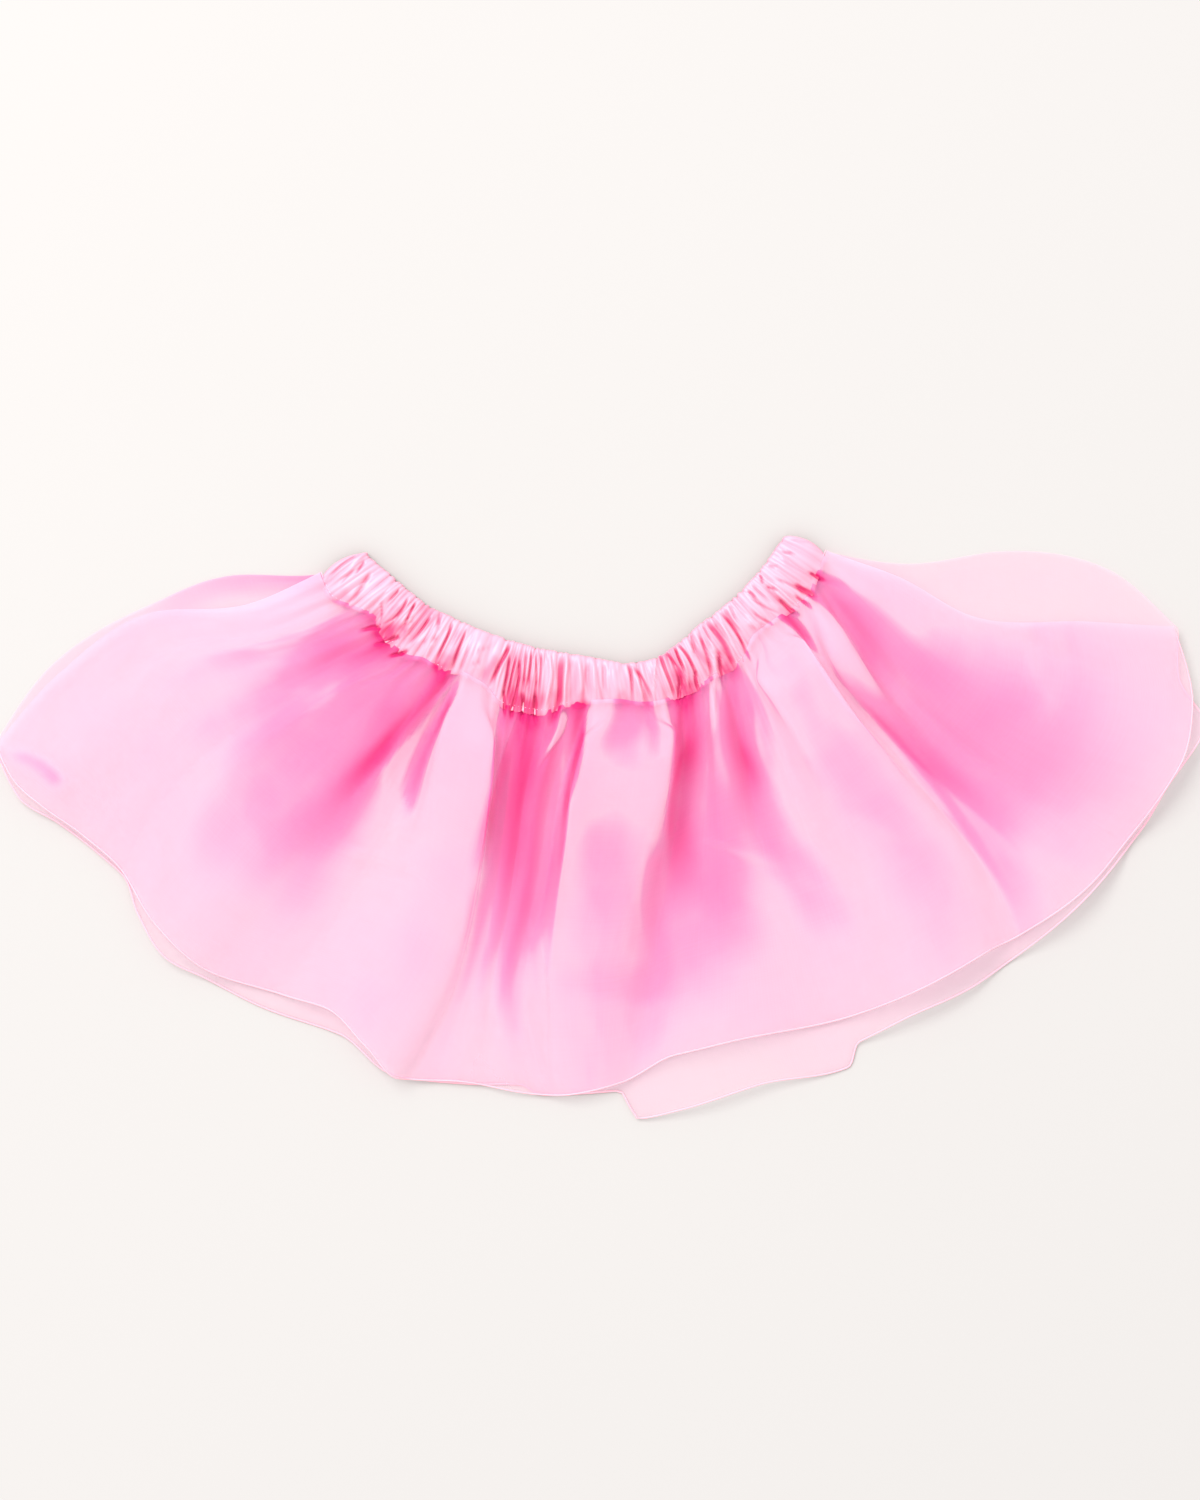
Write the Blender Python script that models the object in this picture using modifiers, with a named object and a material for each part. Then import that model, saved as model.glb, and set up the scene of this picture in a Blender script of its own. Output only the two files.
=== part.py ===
"""Child's ballet tutu laid flat: a gathered casing waistband over a fanned two-panel organza skirt.

Run with: blender --background --python part.py
Metres, +Z up. The tutu lies on z = 0 with its waist curved like a smile, hem towards -Y.
The origin is the bottom centre of its box. Every panel is set out in a fan about one centre:
an angle in degrees from straight down (-Y), positive towards +X, and a radius from that centre.
"""
from typing import NamedTuple

import bpy
import numpy as np

MM = 0.001

# ---- driving dimensions -------------------------------------------------------------------
FAN_CENTRE_X = -9.35 * MM
FAN_CENTRE_Y = 168.75 * MM
SKIRT_WALL = 1.2 * MM
BAND_WALL = 2.6 * MM
CLEARANCE = 0.3 * MM

GATHER_COUNT = 44
SAMPLES_PER_GATHER = 4
BAND_GATHER_DEPTH = 2.2 * MM
BAND_CROWN = 1.0 * MM
SKIRT_GATHER_DEPTH = 2.2 * MM
BACK_GATHER_DEPTH = 1.0 * MM
FLAT_PITCH = 1.8 * MM
FULL_DEPTH_PITCH = 6.5 * MM

FRONT_ROWS = 9
BACK_SAMPLES_PER_GATHER = 2
BACK_ROWS = 8
BAND_ROWS = 4
BAND_BACK_ROWS = 3


class BandRow(NamedTuple):
    """The casing's edges at one angle of the fan."""

    angle: float
    inner: float
    outer: float


class GrainRow(NamedTuple):
    """One thread line of a skirt panel: its angles from the waist seam down to the hem."""

    seam: float
    neck: float
    mid: float
    low: float
    hem: float


class HemRow(NamedTuple):
    """The hem's radius from the fan's centre, in millimetres, at one angle."""

    angle: float
    radius: float


class FoldRow(NamedTuple):
    """One fold that runs down the front panel along its threads.

    crest and half_width are in degrees at the waist seam. The rises are heights in millimetres
    near the waist, half way down and at the hem. lean moves the crest sideways, in millimetres.
    """

    name: str
    crest: float
    half_width: float
    neck: float
    mid: float
    hem: float
    lean: float


class LiftRow(NamedTuple):
    """One stretch of hem that stands off the ground: angle, half width in degrees, height in mm."""

    angle: float
    half_width: float
    height: float


class PitchRow(NamedTuple):
    """How close the casing's gathers lie at one angle, in millimetres from crest to crest."""

    angle: float
    pitch: float


BAND_EDGES = (
    BandRow(-59.2, 103.5, 124.2),
    BandRow(-47.6, 99.8, 125.0),
    BandRow(-36.0, 98.6, 123.0),
    BandRow(-28.0, 96.4, 120.5),
    BandRow(-15.0, 95.8, 124.2),
    BandRow(-3.0, 96.8, 122.6),
    BandRow(6.0, 100.0, 121.4),
    BandRow(14.5, 105.2, 124.0),
    BandRow(24.0, 103.0, 124.6),
    BandRow(32.0, 100.3, 122.8),
    BandRow(48.0, 100.5, 121.0),
    BandRow(62.7, 100.2, 121.0),
)

GATHER_PITCH = (
    PitchRow(-59.2, 6.4),
    PitchRow(-50.0, 5.6),
    PitchRow(-36.0, 4.8),
    PitchRow(-21.0, 8.5),
    PitchRow(-12.0, 3.8),
    PitchRow(-5.0, 4.4),
    PitchRow(1.0, 7.5),
    PitchRow(10.0, 7.8),
    PitchRow(17.0, 4.8),
    PitchRow(28.0, 4.4),
    PitchRow(36.0, 5.0),
    PitchRow(48.0, 5.2),
    PitchRow(62.7, 6.6),
)

GRAIN_STATIONS = (0.0, 0.2, 0.45, 0.75, 1.0)

FRONT_GRAIN = (
    GrainRow(-59.2, -60.4, -65.4, -63.8, -60.6),
    GrainRow(-44.0, -48.5, -53.0, -52.0, -49.0),
    GrainRow(-28.3, -31.3, -32.5, -33.5, -34.5),
    GrainRow(-24.5, -24.6, -23.6, -25.0, -27.0),
    GrainRow(-16.5, -14.4, -12.8, -13.1, -15.7),
    GrainRow(2.7, -1.4, -3.2, -4.7, -2.3),
    GrainRow(19.6, 15.2, 10.0, 6.2, 4.2),
    GrainRow(35.2, 33.1, 31.1, 29.5, 28.0),
    GrainRow(48.7, 44.3, 43.8, 43.5, 40.4),
    GrainRow(58.0, 53.5, 51.0, 51.5, 52.5),
    GrainRow(62.7, 64.2, 63.8, 68.4, 71.0),
)

BACK_GRAIN = (
    GrainRow(-59.2, -65.6, -66.6, -65.1, -60.8),
    GrainRow(-30.0, -32.0, -33.0, -33.0, -33.0),
    GrainRow(0.0, -0.5, -1.0, -0.5, 0.0),
    GrainRow(30.0, 31.0, 32.0, 32.0, 32.0),
    GrainRow(62.7, 66.4, 72.9, 74.5, 71.0),
)

FRONT_HEM = (
    HemRow(-61.0, 277.0),
    HemRow(-54.0, 268.0),
    HemRow(-46.0, 267.0),
    HemRow(-40.0, 274.0),
    HemRow(-34.7, 277.0),
    HemRow(-27.0, 270.0),
    HemRow(-23.5, 267.0),
    HemRow(-19.0, 276.0),
    HemRow(-15.5, 285.0),
    HemRow(-9.0, 281.0),
    HemRow(-2.5, 283.0),
    HemRow(4.0, 278.0),
    HemRow(9.0, 269.0),
    HemRow(14.0, 268.0),
    HemRow(24.6, 275.0),
    HemRow(36.7, 281.0),
    HemRow(41.0, 284.0),
    HemRow(50.0, 287.0),
    HemRow(60.0, 289.0),
    HemRow(65.0, 285.0),
    HemRow(71.0, 265.0),
)

BACK_HEM = (
    HemRow(-60.8, 279.5),
    HemRow(-56.0, 281.5),
    HemRow(-52.0, 274.5),
    HemRow(-48.0, 270.3),
    HemRow(-45.0, 269.0),
    HemRow(-41.4, 276.6),
    HemRow(-37.0, 283.0),
    HemRow(-33.5, 280.5),
    HemRow(-28.5, 279.0),
    HemRow(-21.0, 275.5),
    HemRow(-15.5, 284.5),
    HemRow(-9.0, 281.8),
    HemRow(-4.7, 279.5),
    HemRow(-3.0, 283.0),
    HemRow(3.8, 281.8),
    HemRow(5.2, 294.0),
    HemRow(8.7, 292.2),
    HemRow(15.6, 288.7),
    HemRow(22.9, 294.5),
    HemRow(24.6, 286.5),
    HemRow(28.5, 286.0),
    HemRow(36.0, 290.3),
    HemRow(54.0, 293.0),
    HemRow(58.2, 291.3),
    HemRow(64.3, 294.0),
    HemRow(65.6, 283.5),
    HemRow(66.8, 275.5),
    HemRow(71.0, 267.0),
)

FRONT_FOLDS = (
    FoldRow("left side roll", -56.5, 4.0, 3.0, 3.0, 1.5, -2.0),
    FoldRow("left wing swell", -46.0, 12.0, 4.0, 7.0, 4.0, 0.0),
    FoldRow("left short gather one", -48.0, 1.6, 4.0, 0.5, 0.0, 0.0),
    FoldRow("left short gather two", -43.5, 1.6, 4.5, 0.5, 0.0, 0.0),
    FoldRow("left short gather three", -39.0, 1.8, 4.5, 0.5, 0.0, 0.0),
    FoldRow("left middle swell", -33.5, 5.0, 8.0, 7.0, 4.0, 1.5),
    FoldRow("left narrow flute", -26.4, 1.9, 8.0, 4.0, 1.0, -1.0),
    FoldRow("left centre flute", -20.4, 4.7, 14.0, 12.0, 6.0, 4.0),
    FoldRow("valley flute one", -13.2, 2.0, 4.0, 1.5, 0.0, 0.0),
    FoldRow("valley flute two", -9.3, 2.4, 2.5, 2.0, 1.5, 0.0),
    FoldRow("valley flute three", -3.3, 3.3, 5.5, 3.5, 2.5, 0.0),
    FoldRow("centre flute", 11.2, 9.2, 17.0, 14.0, 4.0, 0.0),
    FoldRow("right narrow flute", 27.4, 2.8, 9.0, 6.0, 3.0, -1.0),
    FoldRow("right thin ridge", 33.4, 1.6, 6.0, 2.0, 0.0, 0.0),
    FoldRow("right broad fold", 42.4, 6.8, 17.0, 14.0, 7.0, 5.0),
    FoldRow("right second fold", 53.0, 3.2, 12.0, 9.0, 5.0, 3.0),
    FoldRow("right side roll", 59.6, 2.8, 5.0, 5.0, 3.0, 0.0),
)

HEM_LIFTS = (
    LiftRow(-56.0, 6.0, 3.0),
    LiftRow(-38.0, 7.0, 4.0),
    LiftRow(-17.0, 6.0, 3.0),
    LiftRow(13.0, 10.0, 5.0),
    LiftRow(31.0, 8.0, 6.0),
    LiftRow(46.0, 8.0, 8.0),
    LiftRow(60.0, 8.0, 8.0),
    LiftRow(71.0, 7.0, 4.0),
)
LIFT_STARTS_AT = 190.0 * MM
LIFT_FULL_AT = 285.0 * MM

# heights of the layers' undersides, from the ground up
BAND_FRONT_FLOOR = BAND_WALL + CLEARANCE
FRONT_SEAM_HEIGHT = BAND_FRONT_FLOOR
FRONT_LIE_HEIGHT = SKIRT_WALL + CLEARANCE

# shares of the way from the waist seam to the hem
SEAM_LIP = 0.012
SEAM_DROP_LENGTH = 0.42
FRONT_GATHERS_END = 0.55
BACK_GATHERS_END = 0.35
LEAN_FULL_AT = 0.25
FOLD_STATIONS = (0.0, 0.16, 0.55, 1.0)

BROAD_FOLD = 4.0
SEAM_RISE = 0.1
ROW_CROWDING = 1.25


def cubic(u, span, start, end, start_slope, end_slope):
    """Return the cubic from start to end, with its slopes at both ends, as u goes from 0 to 1."""
    return (
        start * (1 + 2 * u) * (1 - u) ** 2
        + end * u * u * (3 - 2 * u)
        + start_slope * span * u * (1 - u) ** 2
        - end_slope * span * u * u * (1 - u)
    )


def smooth_table(x, xs, ys):
    """Return a smooth curve through the table xs, ys, level at its peaks so it never overshoots.

    It is made of cubic pieces. The slope at a row is the harmonic mean of the slopes beside it.
    """
    xs = np.asarray(xs, dtype=float)
    ys = np.asarray(ys, dtype=float)
    steps = np.diff(ys) / np.diff(xs)
    before, after = steps[:-1], steps[1:]
    same_way = before * after > 0.0
    mean = 2.0 * before * after / np.where(same_way, before + after, 1.0)
    slopes = np.concatenate((steps[:1], np.where(same_way, mean, 0.0), steps[-1:]))
    x = np.clip(x, xs[0], xs[-1])
    k = np.clip(np.searchsorted(xs, x) - 1, 0, len(xs) - 2)
    span = xs[k + 1] - xs[k]
    return cubic((x - xs[k]) / span, span, ys[k], ys[k + 1], slopes[k], slopes[k + 1])


def smooth_across(share, stations, values):
    """Return the smooth curve down the panel through arrays of values, one for each station."""
    slopes = np.gradient(np.stack(values), stations, axis=0)
    result = np.zeros_like(share)
    for k, (start, end) in enumerate(zip(stations[:-1], stations[1:])):
        u = (share - start) / (end - start)
        piece = cubic(u, end - start, values[k], values[k + 1], slopes[k], slopes[k + 1])
        result = np.where((share >= start) & (share <= end), piece, result)
    return result


def columns(table, *names):
    """Return the named columns of a table of rows."""
    return [np.array([getattr(row, name) for row in table]) for name in names]


def smoothstep(x):
    """Return a soft ramp from 0 to 1 as x goes from 0 to 1."""
    x = np.clip(x, 0.0, 1.0)
    return x * x * (3.0 - 2.0 * x)


def band_inner(angle):
    """Return the casing's inner radius, its edge at the waist."""
    angles, inner = columns(BAND_EDGES, "angle", "inner")
    return smooth_table(angle, angles, inner) * MM


def band_outer(angle):
    """Return the casing's outer radius, where the skirt is sewn on."""
    angles, outer = columns(BAND_EDGES, "angle", "outer")
    return smooth_table(angle, angles, outer) * MM


def gather_angles(per_gather):
    """Return angles across the waist, per_gather of them from one gather's valley to the next.

    The gathers' phase is the running sum of arc length over the local pitch, scaled to the count.
    """
    first, last = BAND_EDGES[0].angle, BAND_EDGES[-1].angle
    fine = np.linspace(first, last, 2001)
    angles, pitch = columns(GATHER_PITCH, "angle", "pitch")
    density = 1.0 / smooth_table(fine, angles, pitch)
    phase = np.concatenate(([0.0], np.cumsum((density[1:] + density[:-1]) * 0.5)))
    phase *= GATHER_COUNT / phase[-1]
    wanted = np.linspace(0.0, GATHER_COUNT, GATHER_COUNT * per_gather + 1)
    return np.interp(wanted, phase, fine), wanted


def gather_wave(angle, radius, phase):
    """Return the height share, 0 in a valley and up to 1 on a crest, of gathers of uneven depth.

    Where gathers lie close together they are shallower, so that the wall keeps clear of itself.
    """
    pitch = np.radians(np.gradient(angle, axis=-1) / np.gradient(phase, axis=-1)) * radius
    room = np.clip((pitch - FLAT_PITCH) / (FULL_DEPTH_PITCH - FLAT_PITCH), 0.0, 1.0)
    number = np.floor(phase)
    uneven = 0.72 + 0.2 * np.sin(2.3 * number) + 0.08 * np.sin(5.1 * number + 1.0)
    return room * uneven * 0.5 * (1.0 - np.cos(2.0 * np.pi * phase))


def fan_point(angle, radius, height):
    """Return world coordinates for fan angle in degrees, radius and height."""
    turn = np.radians(angle)
    return np.stack(
        (
            FAN_CENTRE_X + radius * np.sin(turn),
            FAN_CENTRE_Y - radius * np.cos(turn),
            height,
        ),
        axis=-1,
    )


def grain_angle(table, seam_angle, share):
    """Return the angle of the thread that starts at seam_angle, at a share of the way to the hem."""
    seams, *stations = columns(table, *GrainRow._fields)
    angles = [seam_angle] + [smooth_table(seam_angle, seams, station) for station in stations]
    return smooth_across(share, GRAIN_STATIONS, angles)


def thread_radius(hem_table, seam_angle, hem_angle, share):
    """Return the radius along a thread, from just below the casing to the hem."""
    angles, radii = columns(hem_table, "angle", "radius")
    start = band_outer(seam_angle) + CLEARANCE
    end = smooth_table(hem_angle, angles, radii) * MM
    return start + (end - start) * share


def hem_lift(angle, radius):
    """Return how far the cloth stands off the ground there: soft waves that grow towards the hem."""
    height = np.zeros_like(radius)
    for row in HEM_LIFTS:
        across = np.clip((angle - row.angle) / row.half_width, -1.0, 1.0)
        height += row.height * MM * (1.0 - across**2) ** 2
    return height * smoothstep((radius - LIFT_STARTS_AT) / (LIFT_FULL_AT - LIFT_STARTS_AT))


def row_shares(rows, power):
    """Return the rows' shares of the way to the hem: a level lip at the seam, then the rest."""
    below = np.linspace(0.0, 1.0, rows + 1) ** power
    return np.concatenate(([0.0], SEAM_LIP + (1.0 - SEAM_LIP) * below))


def fold_offsets(seam_angle, share):
    """Return the height and the sideways shift that the front panel's folds add.

    Each fold is a swell across the threads, flat-topped where it is broad and round where it is
    narrow. Its crest leans over by the same share as it rises, which only shears the section.
    """
    height = np.zeros_like(share)
    shift = np.zeros_like(share)
    for row in FRONT_FOLDS:
        across = np.clip((seam_angle - row.crest) / row.half_width, -1.0, 1.0)
        power = 4 if row.half_width > BROAD_FOLD else 2
        swell = (1.0 - across**power) ** 2
        rises = (row.neck * SEAM_RISE, row.neck, row.mid, row.hem)
        height += smooth_table(share, FOLD_STATIONS, rises) * MM * swell
        shift += row.lean * MM * swell * smoothstep(share / LEAN_FULL_AT)
    return height, shift


def front_surface(seam_angles, phases, shares):
    """Return the front panel's underside as a grid of points, rows from the seam to the hem."""
    seam, share = np.meshgrid(seam_angles, shares)
    phase = np.broadcast_to(phases, seam.shape)
    angle = grain_angle(FRONT_GRAIN, seam, share)
    hem_angle = grain_angle(FRONT_GRAIN, seam, np.ones_like(share))
    radius = thread_radius(FRONT_HEM, seam, hem_angle, share)
    fold_height, fold_shift = fold_offsets(seam, share)
    fade = 1.0 - smoothstep(share / FRONT_GATHERS_END)
    gather = gather_wave(angle, radius, phase) * SKIRT_GATHER_DEPTH * fade
    settle = smoothstep(share / SEAM_DROP_LENGTH)
    base = FRONT_SEAM_HEIGHT + (FRONT_LIE_HEIGHT - FRONT_SEAM_HEIGHT) * settle
    height = base + gather + fold_height + hem_lift(angle, radius)
    angle = angle + np.degrees(fold_shift / radius)
    height[0] = height[1]  # the lip along the seam is level
    return fan_point(angle, radius, height)


def back_surface(seam_angles, phases, shares):
    """Return the back panel's underside, flat on the ground but for gathers and hem waves."""
    seam, share = np.meshgrid(seam_angles, shares)
    phase = np.broadcast_to(phases, seam.shape)
    angle = grain_angle(BACK_GRAIN, seam, share)
    hem_angle = grain_angle(BACK_GRAIN, seam, np.ones_like(share))
    radius = thread_radius(BACK_HEM, seam, hem_angle, share)
    fade = 1.0 - smoothstep(share / BACK_GATHERS_END)
    gather = gather_wave(angle, radius, phase) * BACK_GATHER_DEPTH * fade
    height = gather + hem_lift(angle, radius)
    height[0] = height[1]  # the lip along the seam is level
    return fan_point(angle, radius, height)


def grid_quads(index):
    """Return the four-sided faces of a grid of point numbers, facing up."""
    corners = (index[1:, :-1], index[1:, 1:], index[:-1, 1:], index[:-1, :-1])
    return np.stack(corners, axis=-1).reshape(-1, 4)


def add_mesh(collection, name, points, quads, material):
    """Make a named object from points and four-sided faces, with its finish."""
    mesh = bpy.data.meshes.new(name)
    mesh.from_pydata(points.reshape(-1, 3).tolist(), [], quads.tolist())
    mesh.update()
    mesh.shade_smooth()
    mesh.materials.append(material)
    piece = bpy.data.objects.new(name, mesh)
    collection.objects.link(piece)
    return piece


def add_shell(collection, name, points, wall, material):
    """Make a named shell: a grid of points with a wall built upwards from it."""
    rows, cols, _ = points.shape
    quads = grid_quads(np.arange(rows * cols).reshape(rows, cols))
    piece = add_mesh(collection, name, points, quads, material)
    solidify = piece.modifiers.new("wall", "SOLIDIFY")
    solidify.thickness = wall
    solidify.offset = 1.0
    solidify.use_even_offset = False
    return piece


def cloth_material(name, colour, roughness):
    """Return a plain cloth finish."""
    material = bpy.data.materials.new(name)
    material.use_nodes = True
    shader = material.node_tree.nodes["Principled BSDF"]
    shader.inputs["Base Color"].default_value = (*colour, 1.0)
    shader.inputs["Roughness"].default_value = roughness
    shader.inputs["Metallic"].default_value = 0.0
    return material


def build_skirt_front(collection, material):
    """Build the front panel, whose gathers run on from the casing's into its folds."""
    seam_angles, phases = gather_angles(SAMPLES_PER_GATHER)
    shares = row_shares(FRONT_ROWS, ROW_CROWDING)
    points = front_surface(seam_angles, phases, shares)
    return add_shell(collection, "skirt_front", points, SKIRT_WALL, material)


def build_skirt_back(collection, material):
    """Build the back panel, which the tutu lies on."""
    seam_angles, phases = gather_angles(BACK_SAMPLES_PER_GATHER)
    points = back_surface(seam_angles, phases, row_shares(BACK_ROWS, 1.0))
    return add_shell(collection, "skirt_back", points, SKIRT_WALL, material)


def band_strip(angles, rows):
    """Return the casing's plan grid of angle and radius, and each point's share of the way across."""
    angle, share = np.meshgrid(angles, np.linspace(0.0, 1.0, rows))
    return angle, band_inner(angle) + (band_outer(angle) - band_inner(angle)) * share, share


def add_slab(collection, name, lower, upper, material):
    """Make a named closed wall between two grids of points that share their plan."""
    rows, cols, _ = lower.shape
    index = np.arange(2 * rows * cols).reshape(2, rows, cols)
    top, bottom = index[1], index[0]
    rim = np.concatenate((bottom[0, :-1], bottom[:-1, -1], bottom[-1, :0:-1], bottom[:0:-1, 0]))
    after = np.roll(rim, -1)
    over = rows * cols
    quads = np.concatenate(
        (
            grid_quads(top),
            grid_quads(bottom)[:, ::-1],
            np.stack((rim, rim + over, after + over, after), -1),
        )
    )
    points = np.concatenate((lower.reshape(-1, 3), upper.reshape(-1, 3)))
    return add_mesh(collection, name, points, quads, material)


def build_waistband(collection, material):
    """Build the casing's back half flat on the ground and its gathered front half above it.

    The gathers are raised in the front half's outer points, over a plain inside.
    """
    seam_angles, _ = gather_angles(BACK_SAMPLES_PER_GATHER)
    angle, radius, _ = band_strip(seam_angles, BAND_BACK_ROWS)
    ground = np.zeros_like(angle)
    lower, upper = fan_point(angle, radius, ground), fan_point(angle, radius, ground + BAND_WALL)
    add_slab(collection, "waistband_back", lower, upper, material)

    seam_angles, phases = gather_angles(SAMPLES_PER_GATHER)
    angle, radius, share = band_strip(seam_angles, BAND_ROWS)
    wave = gather_wave(angle, radius, np.broadcast_to(phases, angle.shape))
    inside = np.full_like(angle, BAND_FRONT_FLOOR)
    outside = inside + BAND_WALL + wave * BAND_GATHER_DEPTH + BAND_CROWN * np.sin(np.pi * share)
    lower, upper = fan_point(angle, radius, inside), fan_point(angle, radius, outside)
    add_slab(collection, "waistband_front", lower, upper, material)


def main():
    """Clear the scene and build the four pieces."""
    for old in list(bpy.data.objects):
        bpy.data.objects.remove(old, do_unlink=True)
    collection = bpy.data.collections.new("ballet_tutu")
    bpy.context.scene.collection.children.link(collection)
    organza = cloth_material("pink organza", (0.97, 0.45, 0.68), 0.6)
    satin = cloth_material("pink satin", (0.97, 0.62, 0.78), 0.35)
    build_skirt_back(collection, organza)
    build_skirt_front(collection, organza)
    build_waistband(collection, satin)


main()
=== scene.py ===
"""Looks of a child's ballet tutu laid flat: gathered satin casing over two fanned organza panels.

The cloth is worked out in a fan: an angle in degrees from straight down (-Y), positive towards
+X, and a radius from the fan's centre. A panel's threads start at the waist seam, and each is
named by its angle there. Sizes are in millimetres in the tables and in metres elsewhere.
"""
import enum
import logging
import math
from dataclasses import dataclass, field
from typing import NamedTuple, Sequence

import bpy
import numpy as np
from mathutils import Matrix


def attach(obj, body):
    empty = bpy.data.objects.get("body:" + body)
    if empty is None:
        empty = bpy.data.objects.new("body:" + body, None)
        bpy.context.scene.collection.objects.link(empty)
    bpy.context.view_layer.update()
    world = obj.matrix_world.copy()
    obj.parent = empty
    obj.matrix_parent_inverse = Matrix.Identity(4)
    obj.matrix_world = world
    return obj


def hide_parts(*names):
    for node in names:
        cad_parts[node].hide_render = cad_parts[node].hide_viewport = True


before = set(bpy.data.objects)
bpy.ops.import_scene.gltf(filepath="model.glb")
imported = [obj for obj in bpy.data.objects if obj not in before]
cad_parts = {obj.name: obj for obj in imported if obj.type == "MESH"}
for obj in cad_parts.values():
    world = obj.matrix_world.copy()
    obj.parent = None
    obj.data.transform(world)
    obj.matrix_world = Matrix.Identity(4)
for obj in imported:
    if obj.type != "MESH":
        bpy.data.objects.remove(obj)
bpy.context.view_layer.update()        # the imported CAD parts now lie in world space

LOG = logging.getLogger("ballet_tutu")
MM = 0.001
BODY = "root"

Colour = tuple[float, float, float]
Numbers = np.ndarray | float
Socket = bpy.types.NodeSocket
Value = Socket | tuple | float


# ---- tables -------------------------------------------------------------------------------


class BandRow(NamedTuple):
    """The casing's edges at one angle of the fan, as radii in millimetres."""

    angle: float
    inner: float
    outer: float


class PitchRow(NamedTuple):
    """How close the casing's gathers lie at one angle, in millimetres from crest to crest."""

    angle: float
    pitch: float


class GrainRow(NamedTuple):
    """One thread line of a skirt panel: its angles from the waist seam down to the hem."""

    seam: float
    neck: float
    mid: float
    low: float
    hem: float


class HemRow(NamedTuple):
    """The hem's radius from the fan's centre, in millimetres, at one angle."""

    angle: float
    radius: float


class FoldRow(NamedTuple):
    """One fold, or the valley between two, that runs down a panel along its threads.

    crest and half_width are in degrees at the waist seam. The rises are heights in millimetres
    near the waist, half way down and at the hem. lean moves the crest sideways, in millimetres.
    The full columns are what it adds or thins away at the same three places, counted as layers: partly
    more cloth, partly painted shade in valleys and beside fold sides.
    """

    name: str
    crest: float
    half_width: float
    neck: float = 0.0
    mid: float = 0.0
    hem: float = 0.0
    lean: float = 0.0
    full_neck: float = 0.0
    full_mid: float = 0.0
    full_hem: float = 0.0


class MarkRow(NamedTuple):
    """A crease, or a doubling of the cloth, between two places in the fan.

    Angles are in degrees, radii, half widths and height in millimetres; a negative height is a
    trough. The full columns are the layers added at its two ends: partly more cloth and partly
    painted shade along valleys and fold edges, while a negative one paints a paler stripe. skew,
    from -1 to 1, moves its middle towards one side, which makes that side crisp and the other soft.
    bow is how far, in millimetres, the middle of the line bends out towards the larger angle.
    """

    name: str
    from_angle: float
    from_radius: float
    to_angle: float
    to_radius: float
    from_width: float
    to_width: float
    height: float
    from_full: float
    to_full: float
    skew: float = 0.0
    bow: float = 0.0


class CreaseRow(NamedTuple):
    """A crease or a ridge of the casing, between two places in the fan.

    It is a MarkRow without a name, of one half width, height and shade; shade is painted shade,
    how deep a pink it adds, 0 to 1, and a negative shade is a painted highlight that makes it paler.
    """

    from_angle: float
    from_radius: float
    to_angle: float
    to_radius: float
    half_width: float
    height: float
    shade: float
    bow: float = 0.0


class LiftRow(NamedTuple):
    """One stretch of hem that stands off the ground: angle, half width in degrees, height in mm."""

    angle: float
    half_width: float
    height: float


def table(kind: type, *rows: tuple) -> tuple:
    """Return rows of a kind, each made from a tuple in the order of the kind's own columns."""
    return tuple(kind(*row) for row in rows)


BAND_EDGES = table(
    BandRow,
    (-59.2, 104, 126), (-54.5, 102.6, 127.6), (-50.5, 101, 123), (-45.5, 99.8, 118.6),
    (-41, 99.4, 121.8), (-36.5, 98.6, 122.6), (-32, 97.2, 119.4), (-28, 96.6, 119.6),
    (-24, 96.4, 116.8), (-19, 95.9, 118.2), (-14, 96.2, 124.2), (-7, 96.9, 124.4), (-2, 97.6, 120.6),
    (3, 99.2, 119), (8.5, 101.9, 119.6), (13, 104.4, 122.6), (17.5, 105.2, 124.2), (24, 103.4, 124.2),
    (29, 101, 123), (34, 99.9, 124), (40, 99.9, 118.4), (45.5, 99.8, 119.6), (53, 99.8, 123.6),
    (57, 99.9, 121.4), (62.7, 100.2, 120.4),
)

GATHER_PITCH = table(
    PitchRow,
    (-59.2, 6.4), (-50, 5.6), (-36, 4.8), (-21, 8.5), (-12, 3.8), (-5, 4.4), (1, 7.5), (10, 7.8),
    (17, 4.8), (28, 4.4), (36, 5), (48, 5.2), (62.7, 6.6),
)

FRONT_GRAIN = table(
    GrainRow,
    (-59.2, -60.4, -65.4, -63.8, -60.6), (-44, -48.5, -53, -52, -49),
    (-28.3, -31.3, -32.5, -33.5, -34.5), (-24.5, -24.6, -23.6, -25, -27),
    (-16.5, -14.4, -12.8, -13.1, -15.7), (2.7, -1.4, -3.2, -4.7, -2.3), (19.6, 15.2, 10, 6.2, 4.2),
    (35.2, 33.1, 31.1, 29.5, 28), (48.7, 44.3, 43.8, 43.5, 40.4), (58, 53.5, 51, 51.5, 52.5),
    (62.7, 64.2, 63.8, 68.4, 71),
)

BACK_GRAIN = table(
    GrainRow,
    (-59.2, -65.6, -66.6, -65.1, -60.8), (-30, -32, -33, -33, -33), (0, -0.5, -1, -0.5, 0),
    (30, 31, 32, 32, 32), (62.7, 66.4, 72.9, 74.5, 71),
)

FRONT_HEM = table(
    HemRow,
    (-61, 278), (-57.5, 279), (-54, 275), (-50, 269.5), (-46, 267), (-40, 274), (-34.7, 277),
    (-27, 270), (-23.5, 267), (-19, 276), (-15.5, 285), (-9, 281), (-2.5, 283), (4, 278), (9, 269),
    (14, 268), (24.6, 275), (36.7, 281), (41, 285), (50, 290.4), (60, 290.6), (65, 285), (71, 265),
)

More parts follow.
